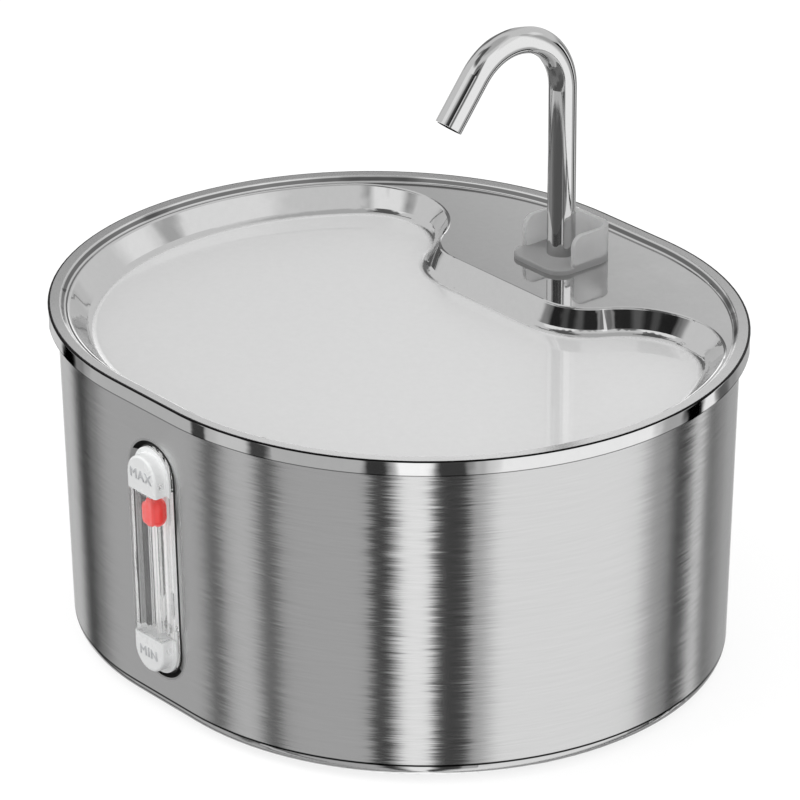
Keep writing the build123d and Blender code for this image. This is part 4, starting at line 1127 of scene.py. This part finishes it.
class FOUNTAIN_OT_pump(bpy.types.Operator):
    """Pump body, motor, rotor, dial, feet and riser hose"""

    bl_idname = "fountain.pump"
    bl_label = "Pump"

    def execute(self, context):
        casing = moulded_plastic("pump_plastic", grey(0.03), roughness=0.42, grain_size=1300.0)
        dress(casing, "pump_housing", "pump_cover")
        plate = moulded_plastic(
            "motor_plate_plastic", grey(0.045), roughness=0.5, grain_size=1300.0
        )
        dress(plate, "motor_back_plate")
        dial = moulded_plastic("dial_plastic", (0.5, 0.51, 0.52, 1.0), roughness=0.4)
        dress(dial, "flow_dial")
        dress(milky_plastic("impeller_plastic", (0.86, 0.86, 0.84, 1.0)), "impeller")
        ferrite = granular(
            "ferrite", grey(0.05), grey(0.13), size=2600.0, depth=0.15, roughness=0.5
        )
        dress(ferrite, "rotor_magnet")
        dress(bright_steel("shaft_steel"), "pump_shaft")
        dress(rubber("pump_rubber", grey(0.03)), "shaft_bushes", "pump_o_ring", "pump_feet")
        dress(laminated_core(), "stator_core")
        dress(copper_winding(), "stator_coil")
        silicone = frosted_silicone("hose_silicone", grey(0.8), grey(0.92), clearness=0.6)
        dress(silicone, "riser_hose")
        return {"FINISHED"}


class FOUNTAIN_OT_filter(bpy.types.Operator):
    """Pump case, foam and the filter cartridge"""

    bl_idname = "fountain.filter"
    bl_label = "Filter"

    def execute(self, context):
        case = moulded_plastic(
            "case_plastic", (0.52, 0.53, 0.54, 1.0), roughness=0.45, grain_size=1400.0
        )
        dress(case, "pump_case", "pump_case_lid")
        foam = granular(
            "open_foam", grey(0.04), grey(0.16), size=1100.0, depth=1.0, roughness=0.95
        )
        dress(foam, "foam_prefilter")
        dress(milky_plastic("filter_frame_plastic", (0.84, 0.84, 0.82, 1.0)), "filter_frame")
        tufts = ((0.7, 0.7, 0.68, 1.0), (0.9, 0.9, 0.88, 1.0))
        fleece = granular("white_fleece", *tufts, size=1900.0, depth=0.5, roughness=0.98)
        dress(fleece, "filter_pads")
        carbon = granular(
            "carbon_grains", grey(0.015), grey(0.07), size=700.0, depth=1.0, roughness=0.6
        )
        dress(carbon, "filter_carbon")
        return {"FINISHED"}


class FOUNTAIN_OT_studio(bpy.types.Operator):
    """Pale floor, plain soft light and the camera"""

    bl_idname = "fountain.studio"
    bl_label = "Studio"

    def execute(self, context):
        sizes = context.scene.fountain_sizes
        studio_floor(sizes.floor_size)
        studio_world(sizes.world_level)
        area_lamp("key_lamp", (-0.5, -0.9, 1.5), size=1.2, power=9.0)
        area_lamp("fill_lamp", (1.2, -0.2, 1.0), size=1.0, power=4.0)
        studio_camera()
        context.scene.view_settings.view_transform = "Standard"
        return {"FINISHED"}


OPERATORS = (
    FOUNTAIN_OT_tank,
    FOUNTAIN_OT_tray,
    FOUNTAIN_OT_spout,
    FOUNTAIN_OT_window,
    FOUNTAIN_OT_level_words,
    FOUNTAIN_OT_cord_outlet,
    FOUNTAIN_OT_pump,
    FOUNTAIN_OT_filter,
    FOUNTAIN_OT_studio,
)


class FOUNTAIN_PT_panel(bpy.types.Panel):
    """Steps of the fountain, in order"""

    bl_idname = "FOUNTAIN_PT_panel"
    bl_label = "Pet water fountain"
    bl_space_type = "VIEW_3D"
    bl_region_type = "UI"
    bl_category = "Fountain"

    def draw(self, context):
        for group in (context.scene.fountain_sizes, context.scene.fountain_colours):
            box = self.layout.box()
            for name in group.__annotations__:
                box.prop(group, name)
        for operator in OPERATORS:
            self.layout.operator(operator.bl_idname)


CLASSES = (FountainSizes, FountainColours) + OPERATORS + (FOUNTAIN_PT_panel,)


def register():
    for item in CLASSES:
        bpy.utils.register_class(item)
    bpy.types.Scene.fountain_sizes = bpy.props.PointerProperty(type=FountainSizes)
    bpy.types.Scene.fountain_colours = bpy.props.PointerProperty(type=FountainColours)


def unregister():
    del bpy.types.Scene.fountain_colours
    del bpy.types.Scene.fountain_sizes
    for item in reversed(CLASSES):
        bpy.utils.unregister_class(item)


def main():
    """Makes every piece and the studio, and notes the two boxes."""
    register()
    bpy.ops.fountain.tank()
    bpy.ops.fountain.tray()
    bpy.ops.fountain.spout()
    bpy.ops.fountain.window()
    bpy.ops.fountain.level_words()
    bpy.ops.fountain.cord_outlet()
    bpy.ops.fountain.pump()
    bpy.ops.fountain.filter()
    bpy.ops.fountain.studio()


if __name__ == "__main__":
    main()
